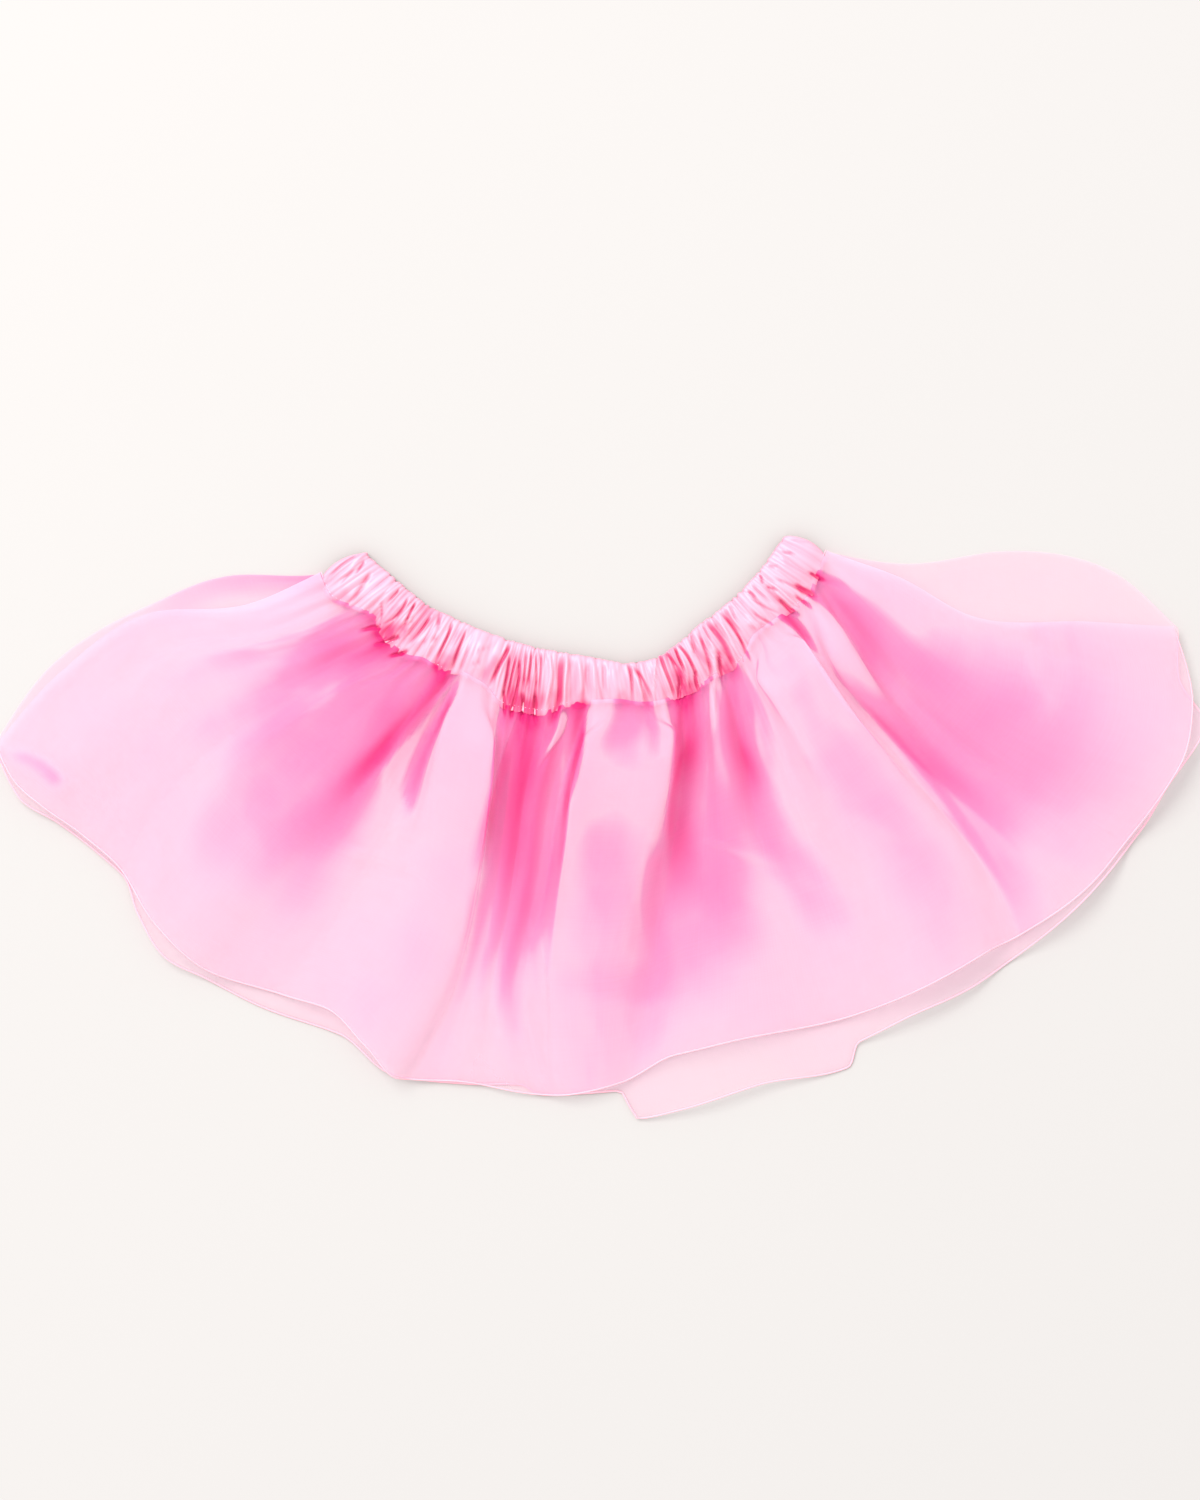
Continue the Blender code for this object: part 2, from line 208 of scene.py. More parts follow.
BACK_HEM = table(
    HemRow,
    (-60.8, 279.5), (-56, 281.5), (-52, 274.5), (-48, 270.3), (-45, 269), (-41.4, 276.6), (-37, 283),
    (-33.5, 280.5), (-28.5, 279), (-21, 275.5), (-15.5, 284.5), (-9, 281.8), (-4.7, 279.5), (-3, 283),
    (3.8, 281.8), (5.2, 294), (8.7, 292.2), (15.6, 288.7), (22.9, 294.5), (24.6, 286.5), (28.5, 286),
    (36, 290.3), (54, 293), (58.2, 291.3), (64.3, 294), (65.6, 283.5), (66.8, 275.5), (71, 267),
)

FRONT_FOLDS = table(
    FoldRow,
    ("left side roll", -56.5, 4, 3, 3, 1.5, -2),
    ("left wing swell", -44.5, 12, 4, 7, 4, 0, 1.1, 0.5, -0.1),
    ("left short gather one", -48, 1.8, 1),
    ("left short gather two", -43.5, 1.8, 1.2),
    ("left short gather three", -39, 2, 1.2),
    ("left middle swell", -32.5, 7, 7, 7, 4, 1.5, 2.1, 2, 0.1),
    ("left deep valley", -28.5, 2.6, 0, 0, 0, 0, 0.6, 0.6),
    ("left narrow flute", -26.4, 1.9, 2.5, 1.5, 0.5, -1, 0.4, 1.2, 0.6),
    ("left centre flute", -19.8, 5.2, 12.5, 10, 6, 3, 0.5, 1.2, 0.9),
    ("valley flute one", -13.4, 2.4, 3, 1, 0, 0, 0.6, 1.2, 0.2),
    ("valley flute two", -9.6, 3.2, 1.5, 1, 1, 0, 0.4, 0.9),
    ("centre valley", -7.2, 7.6, 0, 0, 0, 0, 2.2, 0.9),
    ("valley flute three", -3.3, 3.6, 2, 1, 1, 0, 1, 1),
    ("beside the centre flute", -0.8, 4.4, 0, 0, 0, 0, 1.6, 2.7, 0.1),
    ("centre flute", 11.6, 9.8, 17, 13, 4, 0, 0.8, 1.1, 1),
    ("right of the centre flute", 20.8, 2.6, 0, 0, 0, 0, 0.6, 0.5, 0.1),
    ("right middle swell", 25, 8.5, 0, 0, 0, 0, 1.3, 2.4, 0.6),
    ("right narrow flute", 27.4, 2.8, 6, 2, 0.5, -1),
    ("right thin ridge", 33.4, 1.8, 2.5),
    ("right broad fold", 41.2, 7.4, 17, 13, 7, 5, 0.6, 1.4, 1.1),
    ("right wing shade", 57.4, 8.6, 0, 0, 0, 0, 0.9, 2.4, 0.9),
    ("right second fold", 52.6, 3.2, 11, 0.5, 0.5),
    ("right side roll", 59.6, 2.8, 5, 5, 3, 0, 0, 0.2, 0.4),
)

BACK_FOLDS = table(
    FoldRow,
    ("back left edge", -59.2, 5, 0, 0, 0, 0, 1.7, 0.8),
    ("back left swell", -42, 9, 0.6),
    ("back centre swell", -8, 7, 0.5),
    ("back right swell", 34, 8, 0.6),
    ("back right spread", 37, 34, 0, 0, 0, 0, 0, 0.35, 0.4),
)

FRONT_MARKS = table(
    MarkRow,
    ("left streak by the casing", -41.6, 117, -46, 160, 6, 12, -0.8, 1.6, 0.5),
    ("left wing's blush", -46.5, 118, -48, 240, 10, 26, 0, 1.2, 0.8),
    ("left wedge by the casing", -39.5, 117, -42, 154, 7, 8, -0.6, 3, 0.8),
    ("left valley", -25.6, 110, -32, 196, 5.5, 7.2, -1, 4.8, 2, 0.4, -0.9),
    ("left valley's spread", -31.8, 128, -32.4, 240, 6, 22, -0.8, 1.6, 1.3),
    ("left narrow flute's edge", -24.8, 118, -28.4, 172, 1.4, 4.2, 0.8, -0.2, -2, -0.4, -0.9),
    ("left narrow flute's hook", -28.4, 164, -22.4, 183, 2.8, 3, 0.6, -1.2, -0.8, 0, -1),
    ("left drop", -24.7, 114, -24.2, 188, 2.2, 6.8, -0.8, 2.6, 5.4, 0.35),
    ("left centre flute's edge", -13, 118, -10.8, 206, 3.4, 6, 0, 1.4, 0.8, -0.9, -1.6),
    ("left centre flute's low edge", -10.8, 196, -12.6, 252, 5.5, 6, 0, 0.6, 0.2, -0.9),
    ("centre valley's core", -10, 112, -7, 240, 5.4, 15, -0.6, 2.3, 0.6),
    ("centre valley's pleat", -9.8, 120, -12.2, 196, 2.6, 4, -0.4, 1.4, 2.2, -0.7),
    ("centre valley's pale flute", -2.2, 120, -7, 148, 3, 1.6, 1.2, -4, -1.6, 0.4, 2.4),
    ("centre valley's fill", -2.4, 144, -4.6, 246, 2.2, 4.6, 0, 1.4, 1.2),
    ("centre valley's pale stripe", -7, 146, -6.2, 262, 2.6, 5, 0, -0.4, -0.9),
    ("centre valley's low end", -7.6, 222, -7.6, 306, 16, 24, 0, -0.5, -1.6),
    ("centre flute's left edge", 1.4, 112, -2.3, 174, 6, 2.4, 0, 4.6, 2, 0.8),
    ("centre flute's middle left edge", -1.7, 148, -4.6, 244, 2.4, 6, 0, 2.4, 1.6, 0.8, 2.4),
    ("centre flute's low blush", 5.4, 150, 5, 304, 14, 30, 0, 0.2, 1.1),
    ("centre flute's soft top", 10.4, 110, 8, 154, 10, 15, -0.6, 1.7, 0.2),
    ("centre flute's dimple", 14.4, 116, 13.8, 150, 2.8, 4.2, -0.8, 1.2, 0.3),
    ("right valley", 24.4, 112, 16.6, 164, 10, 8, -0.6, 3, 1.8, -0.4),
    ("right valley's middle", 21.6, 138, 11.8, 212, 6.5, 11.5, -0.4, 2, 2.4, -0.5),
    ("right valley's spread", 21, 150, 18, 252, 9, 20, 0, 0.4, 0.7),
    ("right valley's tail", 11, 180, 8.6, 234, 7, 6.4, 0, 1.2, 0.8, -0.6),
    ("right pale ridge", 32, 112, 22.6, 147, 2.2, 1.8, 1.2, -1.8, -0.9),
    ("right drop", 32, 120, 23.2, 180, 3.8, 10, -0.8, 2.4, 2.3, 0.3),
    ("right drop's side", 31.6, 130, 26.4, 176, 3.6, 6.5, 0, 1.2, 2.6),
    ("right hollow", 28.2, 150, 25.4, 264, 11, 22, -0.8, 1.1, 1.9),
    ("broad fold's left edge", 33.4, 116, 30, 198, 4, 7, 0, 1.6, 0.4, 0.6, -1),
    ("broad fold's short valley", 47.6, 116, 46.3, 145, 4, 1.4, -0.8, 4.6, 3.6, -0.2),
    ("broad fold's right edge", 46.6, 146, 47, 262, 5, 9, 0, 0.9, 2.4, -0.9, 1),
    ("broad fold's far side", 45.6, 164, 42.4, 276, 2.2, 3.4, 0, 1.2, 1.6, 0, 3),
    ("broad fold's low right edge", 47.3, 184, 40.4, 322, 9, 14, 0, 0.8, 2.8, -0.9, 7),
    ("right deep valley", 58.2, 120, 50.9, 180, 8.5, 7, -0.8, 1.3, 2.4, -0.9),
    ("right wing's top shade", 56.6, 128, 54.6, 204, 6, 12, 0, 1, 1.1),
    ("right small triangle", 57.5, 117, 58.3, 138, 3.2, 1.6, -0.4, 2.6, 1),
    ("low level crease", -4, 236, 14, 240, 9, 12, -0.5, 0.2, 0.4, -0.3),
    ("low upright crease", -4.6, 210, -2.4, 279, 3, 4, 1.2, -0.2, -0.2, 0.5),
    ("left faint ridge", -28.4, 205, -17.8, 202, 4, 4, 1, -0.4, -0.4, 0.4),
    ("right faint ridge", 16.5, 184, 25.5, 208, 2, 3, 0.5, -0.6, -0.5),
    ("right side ridge", 65.6, 178, 66.6, 264, 3.5, 5, 1.6, 0.5, 0.6, -0.8),
    ("right wing's thin ridge", 62.6, 182, 66, 268, 1.6, 2.2, 1, -1.2, -0.6, 0.5, 3),
    ("right wing ridge", 63.8, 214, 57.5, 240, 5, 7, 1.2, -0.4, -0.3, -0.5),
    ("left turned corner", -54, 262, -60.8, 279, 6, 4.5, 0.6, 2.7, 2, -0.6),
)

# the casing's creases and ridges: relief, with painted shade in the creases and painted highlights on
# the pale ridges
CASING_CREASES = table(
    CreaseRow,
    # the left end, pale and loosely gathered
    (-58.2, 104, -56.9, 127, 0.9, -1, 0.34, -0.8), (-57, 105, -56, 124, 1.3, 0.9, -0.1),
    (-56.4, 105.5, -54.6, 113, 0.7, -0.9, 0.62, 0.4), (-55.8, 111, -54.9, 121, 0.7, -0.6, 0.3),
    (-53.2, 106.5, -50.8, 124, 1.1, -1.2, 0.42, 0.6), (-52.6, 118, -53.4, 130, 6, 0.4, 0.22),
    (-48, 101, -49, 120, 3.4, 0.9, -0.06), (-47.2, 110, -43.7, 118, 0.7, -0.8, 0.46, 0.3),
    (-46.1, 101.5, -45.4, 111, 0.7, -0.8, 0.44),
    # close gathers above the left swell, deepest at the seam
    (-47, 115, -40, 124, 7, -0.4, 0.4), (-45.5, 99, -42, 116, 8, 0, 0.16),
    (-43.3, 102, -43.8, 118, 0.9, -1.4, 0.7, 2.6), (-43.4, 106, -43.4, 116, 2.2, 0, 0.26),
    (-41.3, 101, -39.5, 114, 0.8, -1.4, 0.86, 0.4), (-40.2, 106, -37, 117.5, 1, 1.1, -0.22),
    (-38, 97, -36.8, 118, 5.6, -0.3, 0.5), (-41.6, 112, -40.2, 123, 4.6, -0.2, 0.36),
    (-39.6, 110, -40.4, 128, 8, -0.3, 0.3), (-43.2, 118.6, -46, 127, 1.2, -1.4, 0.95),
    (-38.8, 116.5, -42, 127, 1.1, -1.5, 1.05), (-35.8, 118.6, -38.2, 127, 1.1, -1.4, 0.95),
    (-36.1, 102, -36.3, 118, 0.8, -1.1, 0.5), (-34.9, 97.5, -33, 106, 1.2, -1, 0.62),
    (-33.8, 106, -35.2, 119, 2.4, 0.5, 0.16), (-31.2, 106.5, -34.8, 114, 0.7, -0.9, 0.5, -0.5),
    (-31.3, 98.5, -29.9, 120, 0.9, -1.5, 0.84, 0.7), (-32.6, 110, -32.6, 118, 1.5, 0.9, -0.16),
    (-28, 99, -27.2, 118.5, 3, 0.4, 0.4), (-28.6, 110, -28, 126, 5, 0, 0.4),
    (-27.3, 98, -25.9, 118, 0.8, -1.3, 0.6, -0.6), (-25.2, 104, -24.2, 119, 0.9, -0.8, 0.32),
    # the smooth stretch over the left flute
    (-23.6, 106.5, -20, 100.5, 0.7, -0.5, 0.22), (-23, 111.5, -20.2, 106.5, 0.8, -0.5, 0.26),
    (-22.4, 97, -22.6, 120, 5, 1.1, 0.03), (-18.8, 103, -18.9, 119, 2.6, -0.2, 0.5),
    (-16.4, 97, -18.2, 119, 1.2, -1.8, 1.05, 0.8), (-16.2, 101, -16.6, 122, 1.4, 1.2, -0.08),
    # the tightest gathers, left of the middle
    (-13.6, 98, -13.2, 126, 6, -0.5, 0.42), (-15.2, 102, -14.5, 119, 0.8, -1.4, 0.8, -0.4),
    (-14.1, 101, -13.9, 121, 0.7, -1.1, 0.46, 0.4), (-12.9, 103, -12, 120, 0.8, -1.3, 0.66, 0.3),
    (-11.9, 98.5, -10.9, 118, 0.7, -1.1, 0.46, 0.4), (-10.6, 98, -9.5, 117, 0.7, -1.2, 0.6, -0.3),
    (-9.5, 98, -8.3, 115, 0.6, -1.1, 0.5, 0.3), (-8.4, 98, -7.4, 116, 0.7, -1.1, 0.58, 0.4),
    (-9, 108, -9.6, 128, 7, -0.4, 0.38), (-10, 97, -8.8, 118, 8, 0, 0.16),
    (-13, 113, -12, 134, 6, -0.4, 0.4), (-8, 114, -7.6, 134, 6, -0.4, 0.4),
    (-14.9, 116.5, -13, 129, 0.9, -1.3, 0.9), (-12.4, 117.5, -12, 129, 1, -1.3, 0.85),
    (-10.9, 115.5, -9.8, 129, 1, -1.5, 1), (-8.4, 115.5, -7.3, 129, 1, -1.5, 1),
    (-6.6, 97, -6.5, 124, 1.3, 1.3, -0.3, 2.2), (-3.1, 98.5, -4, 128, 1.9, -1.7, 0.86, 0.8),
    (-4.3, 112, -4.3, 130, 3, -0.3, 0.4),
    # broad soft puffs across the middle
    (-1.9, 98.5, -2.2, 121, 1.2, 1.2, -0.1), (-0.5, 99, -0.4, 122, 2.4, -0.6, 0.26),
    (1.4, 99.5, 1.2, 120, 1.4, 1, -0.02), (2.8, 102, 2.9, 117.5, 1.3, -0.9, 0.24),
    (4.6, 100.5, 4.7, 119, 1.9, 1.1, -0.02), (6.6, 102.5, 6.5, 118, 1.3, -0.9, 0.24),
    (9.2, 103, 8.8, 119, 2.8, 1, 0.04), (0.4, 114, 3.4, 122, 4, 0, 0.26),
    (9.4, 115, 11, 123, 4, 0, 0.22), (12.3, 103, 11.5, 123, 0.9, -1.4, 0.6, 0.5),
    (12.9, 105, 12.2, 114, 0.8, -0.6, 0.26), (13.2, 106, 15.1, 124.5, 1, -1.3, 0.62, 1.6),
    (14.6, 113, 14.5, 126, 2, -0.2, 0.36), (13, 104, 14.5, 120, 7, 0, 0.16),
    (13.7, 110, 13.4, 122, 1.1, 1.1, -0.2), (18.9, 104, 15.8, 123, 0.8, 1, -0.22, -0.5),
    (17.9, 108, 18, 124, 3.4, 0.9, 0.16),
    # steep gathers right of the middle
    (20, 102.5, 19.7, 128, 1, -1.5, 0.6), (22.2, 101, 22, 126, 7, -0.5, 0.44),
    (21.1, 104, 22.8, 115, 0.8, -1.1, 0.46, 0.5), (22.4, 112, 22, 134, 6, -0.4, 0.36),
    (22.8, 113, 19.9, 128, 1.2, -1.7, 1), (23.5, 103.5, 23.7, 116, 0.8, -1.2, 0.56),
    (24.7, 102.5, 25.5, 120, 0.9, -1.5, 0.8, 0.6), (25.6, 115.5, 24.3, 126, 1.1, -1.5, 0.98),
    (24.5, 110, 22.6, 124, 1, 1.2, -0.36), (28.7, 101, 26.6, 112, 0.8, -0.9, 0.4),
    (28, 102.5, 28.2, 121, 1.8, -0.7, 0.4), (31.5, 99, 31, 124, 12, 0, 0.18),
    (30.2, 102.5, 26.8, 127, 1, -1.3, 0.66, 1.4), (31.6, 108, 27.6, 128, 1.5, 1.5, -0.26, 0.8),
    (31.9, 113, 29, 128, 0.9, -1.3, 0.66), (31.7, 101, 31.8, 111, 0.7, -0.9, 0.34),
    (33.2, 100, 33, 128, 1.6, -1.6, 0.78, 0.8), (32, 112, 31.4, 130, 4, -0.2, 0.4),
    (34.6, 102.5, 34.2, 113, 0.7, -0.9, 0.36), (35.7, 102, 34.8, 125, 1.3, 1.3, -0.14),
    (37.3, 100.5, 35.9, 127, 0.9, -1.6, 0.84, 0.9), (38.2, 100.5, 37.6, 114, 1.3, -0.8, 0.42),
    (39.7, 100.5, 38.8, 109, 0.8, -0.7, 0.32),
    # over the broad fold, pale, with a few sharp nicks
    (41, 110, 41.6, 119, 2.6, 1.4, -0.1), (42.8, 108.5, 44.3, 121, 0.8, -1, 0.5, -0.5),
    (44.4, 105, 46.6, 119, 0.7, -0.8, 0.34), (45.5, 101.5, 45.2, 107.5, 0.9, -0.9, 0.62),
    (47.1, 101, 46.7, 113, 0.8, -0.9, 0.36), (48.6, 105, 48.6, 121, 2.2, -0.5, 0.34),
    (50.1, 100.5, 48.8, 105, 0.8, -0.9, 0.76), (48.8, 106, 50.4, 111, 0.8, -0.9, 0.66),
    (48.4, 112, 49, 127, 1.3, -1.5, 0.78), (50.4, 107, 50.2, 123, 1.3, 1.1, -0.08),
    (51.8, 107, 53, 119, 0.8, -0.9, 0.4), (51.5, 117.5, 51.4, 128, 0.9, -1.2, 0.82),
    (53.4, 114.5, 53.4, 127, 1.7, -1.5, 0.95), (55.2, 103, 55, 120, 3.2, 1, 0.04),
    (56.8, 116.5, 57.3, 126, 0.9, -1.4, 0.9), (52.8, 101, 54.4, 105, 0.9, -0.5, 0.24),
    (57.6, 102.5, 58.4, 108, 1, -0.6, 0.4), (61, 103, 63, 113, 1, -0.5, 0.14),
    # painted shade along the seam, where deep valleys of the skirt begin
    (-45, 122, -38, 119, 3.2, 0, 0.28), (-37.8, 124, -35.4, 118, 2.8, 0, 0.3),
    (-30.6, 118.5, -25.6, 116, 3.2, 0, 0.34), (-15, 121, -5.6, 121.5, 4.4, 0, 0.36),
    (-1, 118.5, 3.6, 119.5, 3, 0, 0.32), (19.4, 121.5, 28, 121, 3.6, 0, 0.32),
    (30, 121.5, 34.2, 119.5, 3.2, 0, 0.34), (46.4, 117, 49.6, 121, 2.8, 0, 0.3),
    (52.4, 118.5, 54.8, 121.5, 2.8, 0, 0.4), (56.2, 117.5, 58.2, 121.5, 2.6, 0, 0.24),
)

HEM_LIFTS = table(
    LiftRow,
    (-56, 6, 3), (-38, 7, 4), (-17, 6, 3), (13, 10, 5), (31, 8, 6), (46, 8, 8), (60, 8, 8), (71, 7, 4),
)

BROAD_CREASE = 2.5  # half width from which a crease's shade is laid under the others'
GRAIN_STATIONS = (0.0, 0.2, 0.45, 0.75, 1.0)
FOLD_STATIONS = (0.0, 0.16, 0.55, 1.0)
END_RINGS, END_SIZE = 2.0, 0.05  # rings over which a tube closes, and its size at the very end


# ---- numbers ------------------------------------------------------------------------------


def cubic(
    u: Numbers, span: Numbers, start: Numbers, end: Numbers, start_slope: Numbers, end_slope: Numbers
) -> Numbers:
    """Work out the cubic that joins two values with given slopes.

    Args:
        u: Share of the way, 0 to 1.
        span: Length of the way, which scales the slopes.
        start: Value at 0.
        end: Value at 1.
        start_slope: Slope at 0.
        end_slope: Slope at 1.

    Returns:
        The value at u.
    """
    return (
        start * (1 + 2 * u) * (1 - u) ** 2
        + end * u * u * (3 - 2 * u)
        + start_slope * span * u * (1 - u) ** 2
        - end_slope * span * u * u * (1 - u)
    )


def smooth_table(x: np.ndarray, xs: Sequence[float], ys: Sequence[float]) -> np.ndarray:
    """Read a table as a smooth curve, level at its peaks so that it never overshoots its rows.

    Args:
        x: Where to read it.
        xs: The rows' places, rising.
        ys: The rows' values.

    Returns:
        The curve's values at x; each row's slope is the harmonic mean of the slopes beside it.
    """
    xs, ys = np.asarray(xs, dtype=float), np.asarray(ys, dtype=float)
    steps = np.diff(ys) / np.diff(xs)
    before, after = steps[:-1], steps[1:]
    same_way = before * after > 0.0
    mean = 2.0 * before * after / np.where(same_way, before + after, 1.0)
    slopes = np.concatenate((steps[:1], np.where(same_way, mean, 0.0), steps[-1:]))
    x = np.clip(x, xs[0], xs[-1])
    k = np.clip(np.searchsorted(xs, x) - 1, 0, len(xs) - 2)
    span = xs[k + 1] - xs[k]
    return cubic((x - xs[k]) / span, span, ys[k], ys[k + 1], slopes[k], slopes[k + 1])


def smooth_down(
    share: np.ndarray, stations: Sequence[float], values: list[np.ndarray]
) -> np.ndarray:
    """Read arrays given at stations down a panel as smooth curves.

    Args:
        share: Share of the way down, one number for each point.
        stations: The stations' shares, rising from 0 to 1.
        values: One array for each station, each of share's shape.

    Returns:
        The curves' values at share; each station's slope comes from its neighbours.
    """
    slopes = np.gradient(np.stack(values), stations, axis=0)
    result = np.zeros_like(share)
    for k, (start, end) in enumerate(zip(stations[:-1], stations[1:])):
        u = (share - start) / (end - start)
        piece = cubic(u, end - start, values[k], values[k + 1], slopes[k], slopes[k + 1])
        result = np.where((share >= start) & (share <= end), piece, result)
    return result


def columns(rows: Sequence[NamedTuple], *names: str) -> list[np.ndarray]:
    """Return the named columns of a table of rows."""
    return [np.array([getattr(row, name) for row in rows]) for name in names]


def smoothstep(x: np.ndarray) -> np.ndarray:
    """Return a soft ramp from 0 to 1 as x goes from 0 to 1."""
    x = np.clip(x, 0.0, 1.0)
    return x * x * (3.0 - 2.0 * x)


def bell(x: np.ndarray, power: int = 2) -> np.ndarray:
    """Return a swell that is 1 at 0 and runs out level at -1 and 1, flatter on top by power."""
    return (1.0 - np.clip(np.abs(x), 0.0, 1.0) ** power) ** 2


def wander(x: np.ndarray, seed: float) -> np.ndarray:
    """Return a slow uneven wave between about -1 and 1: three sines of unlike lengths."""
    low, high = np.sin(2.17 * x + 1.7 * seed), np.sin(4.31 * x + 2.9 * seed)
    return (np.sin(x + seed) + 0.6 * low + 0.4 * high) / 2.0


# ---- the fan and the gathers --------------------------------------------------------------


@dataclass(frozen=True)
class Fan:
    """The plan that every piece is set out in."""

    centre_x: float = -9.35 * MM
    centre_y: float = 168.75 * MM

    def point(self, angle: Numbers, radius: Numbers, height: Numbers) -> np.ndarray:
        """Work out world coordinates: the centre plus the radius along the turned -Y.

        Args:
            angle: Fan angles in degrees.
            radius: Radii in metres.
            height: Heights in metres.

        Returns:
            The points, with x, y and z along the last axis.
        """
        turn = np.radians(angle)
        x = self.centre_x + radius * np.sin(turn)
        y = self.centre_y - radius * np.cos(turn)
        return np.stack(np.broadcast_arrays(x, y, height), axis=-1)

    def plan(self, angle: Numbers, radius: Numbers) -> np.ndarray:
        """Return plan coordinates: the points' x and y alone."""
        return self.point(angle, radius, 0.0)[..., :2]


@dataclass(frozen=True)
class Gathers:
    """The gathers round the waist, which run on from the casing into the skirt.

    Their phase is the running sum of arc length over the local pitch, scaled to the count. A
    gather has no depth where its pitch is flat_pitch or less, and all of it from full_pitch.
    """

    count: int = 44
    flat_pitch: float = 1.8 * MM
    full_pitch: float = 6.5 * MM
    fine_steps: int = 4001
    mean_depth: float = 0.72
    mean_reach: float = 0.13

    def angles(self, per_gather: int) -> tuple[np.ndarray, np.ndarray]:
        """Work out angles across the waist.

        Args:
            per_gather: How many of them from one gather's valley to the next.

        Returns:
            The angles in degrees, and the phase at each, counted in gathers.
        """
        fine = np.linspace(BAND_EDGES[0].angle, BAND_EDGES[-1].angle, self.fine_steps)
        places, pitch = columns(GATHER_PITCH, "angle", "pitch")
        density = 1.0 / smooth_table(fine, places, pitch)
        phase = np.concatenate(([0.0], np.cumsum((density[1:] + density[:-1]) * 0.5)))
        phase *= self.count / phase[-1]
        wanted = np.linspace(0.0, self.count, self.count * per_gather + 1)
        return np.interp(wanted, phase, fine), wanted

    def pitch(self, angle: np.ndarray, radius: np.ndarray, phase: np.ndarray) -> np.ndarray:
        """Return the room that one gather has in plan, in metres."""
        return np.radians(np.gradient(angle, axis=-1) / np.gradient(phase, axis=-1)) * radius

    def depth(self, phase: np.ndarray) -> np.ndarray:
        """Return each gather's own share of the full depth, uneven by two sines of its number."""
        number = np.floor(phase)
        return self.mean_depth + 0.2 * np.sin(2.3 * number) + 0.08 * np.sin(5.1 * number + 1.0)

    def room(self, pitch: np.ndarray) -> np.ndarray:
        """Return how much of the full depth a gather has room for at this pitch."""
        return np.clip((pitch - self.flat_pitch) / (self.full_pitch - self.flat_pitch), 0.0, 1.0)

    def reach(self, phase: np.ndarray) -> np.ndarray:
        """Return how far down the panel each gather runs, as a share of the panel's length."""
        number = np.floor(phase)
        return self.mean_reach + 0.06 * np.sin(3.7 * number) + 0.04 * np.sin(1.3 * number + 2.0)


FAN = Fan()
GATHERS = Gathers()


@dataclass(frozen=True)
class LineShape:
    """The form that creases and marks share.

    beyond, past_ends, rise and fall are shares of a line's length: how far past its ends it is
    followed, where it begins and ends, and how long it takes to swell up and run out. sway and
    skew_reach are shares of its half width, and steepness above 1 gives it a flat top.
    """

    beyond: float = 0.5
    past_ends: float = 0.05
    rise: float = 0.25
    fall: float = 0.5
    sway: float = 0.22
    skew_reach: float = 0.85
    steepness: float = 1.25

    def swell(
        self, place: np.ndarray, row: MarkRow | CreaseRow, widths: tuple[float, float], skew: float
    ) -> tuple[np.ndarray, np.ndarray]:
        """Work out the swell round one line of the fan, softly run out at its ends.

        The line bends by its bow, and sways a little. Across it, the swell is a soft step up to
        its middle, which skew moves to one side, and a soft step down again.

        Args:
            place: Plan coordinates of the points, (..., 2), in metres.
            row: The line.
            widths: Its half widths at its two ends, in millimetres.
            skew: How far the middle lies to one side, -1 to 1.

        Returns:
            The swell, 0 to 1, and the share of the way along the line.
        """
        start = FAN.plan(row.from_angle, row.from_radius * MM)
        along = FAN.plan(row.to_angle, row.to_radius * MM) - start
        length = float(np.hypot(*along))
        along = along / length
        share = np.clip((place - start) @ along / length, -self.beyond, 1.0 + self.beyond)
        off = (place - start) @ np.array((-along[1], along[0])) / MM
        inside = np.clip(share, 0.0, 1.0)
        width = widths[0] + (widths[1] - widths[0]) * inside
        sway = self.sway * width * np.sin(7.0 * share + 3.0 * row.from_angle)
        across = (off - 4.0 * row.bow * inside * (1.0 - inside) - sway) / width
        middle = self.skew_reach * skew
        step = np.where(
            across < middle, (across + 1.0) / (middle + 1.0), (1.0 - across) / (1.0 - middle)
        )
        run = smoothstep((share + self.past_ends) / self.rise)
        run = run * smoothstep((1.0 + self.past_ends - share) / self.fall)
        return smoothstep(self.steepness * step) * run, inside


LINE = LineShape()


def softened(values: np.ndarray) -> np.ndarray:
    """Mix each value of a grid with its neighbours', along columns and then along rows.

    Args:
        values: The values, (rows, columns).

    Returns:
        The mixed values: half of each value's own and a quarter of each neighbour's, both ways.
    """
    padded = np.pad(values, 1, mode="edge")
    mixed = 0.5 * padded[1:-1] + 0.25 * (padded[:-2] + padded[2:])
    return 0.5 * mixed[:, 1:-1] + 0.25 * (mixed[:, :-2] + mixed[:, 2:])


def band_radius(angle: np.ndarray, edge: str) -> np.ndarray:
    """Return the casing's radius in metres at an angle, for its inner or outer edge."""
    angles, radii = columns(BAND_EDGES, "angle", edge)
    return smooth_table(angle, angles, radii) * MM


def gather_creases(angle: np.ndarray, radius: np.ndarray) -> tuple[np.ndarray, np.ndarray]:
    """Work out what the placed creases and ridges round the waist add.

    Args:
        angle: Fan angles of the points.
        radius: Their radii in metres.

    Returns:
        The height in metres and the painted shade: the strongest of the narrow creases' shades plus
        the broad ones' and less the pale ridges' painted highlights.
    """
    place = FAN.plan(angle, radius)
    height, shade, broad = (np.zeros_like(angle) for _ in range(3))
    for row in CASING_CREASES:
        swell, _ = LINE.swell(place, row, (row.half_width, row.half_width), 0.0)
        height += row.height * MM * swell
        if row.half_width > BROAD_CREASE:
            broad += row.shade * swell
        else:
            shade = np.maximum(shade, row.shade * swell)
            broad += min(row.shade, 0.0) * swell
    return height, shade + broad


# ---- finishes -----------------------------------------------------------------------------


class Shade(enum.Enum):
    """Names of the point attributes that finishes read: layers of cloth with painted shade, painted
    light near the waist, and painted shade in the casing's creases.
    """

    LAYERS_AND_SHADE = "fullness"
    PAINTED_LIGHT = "pale"
    CREASE = "crease"


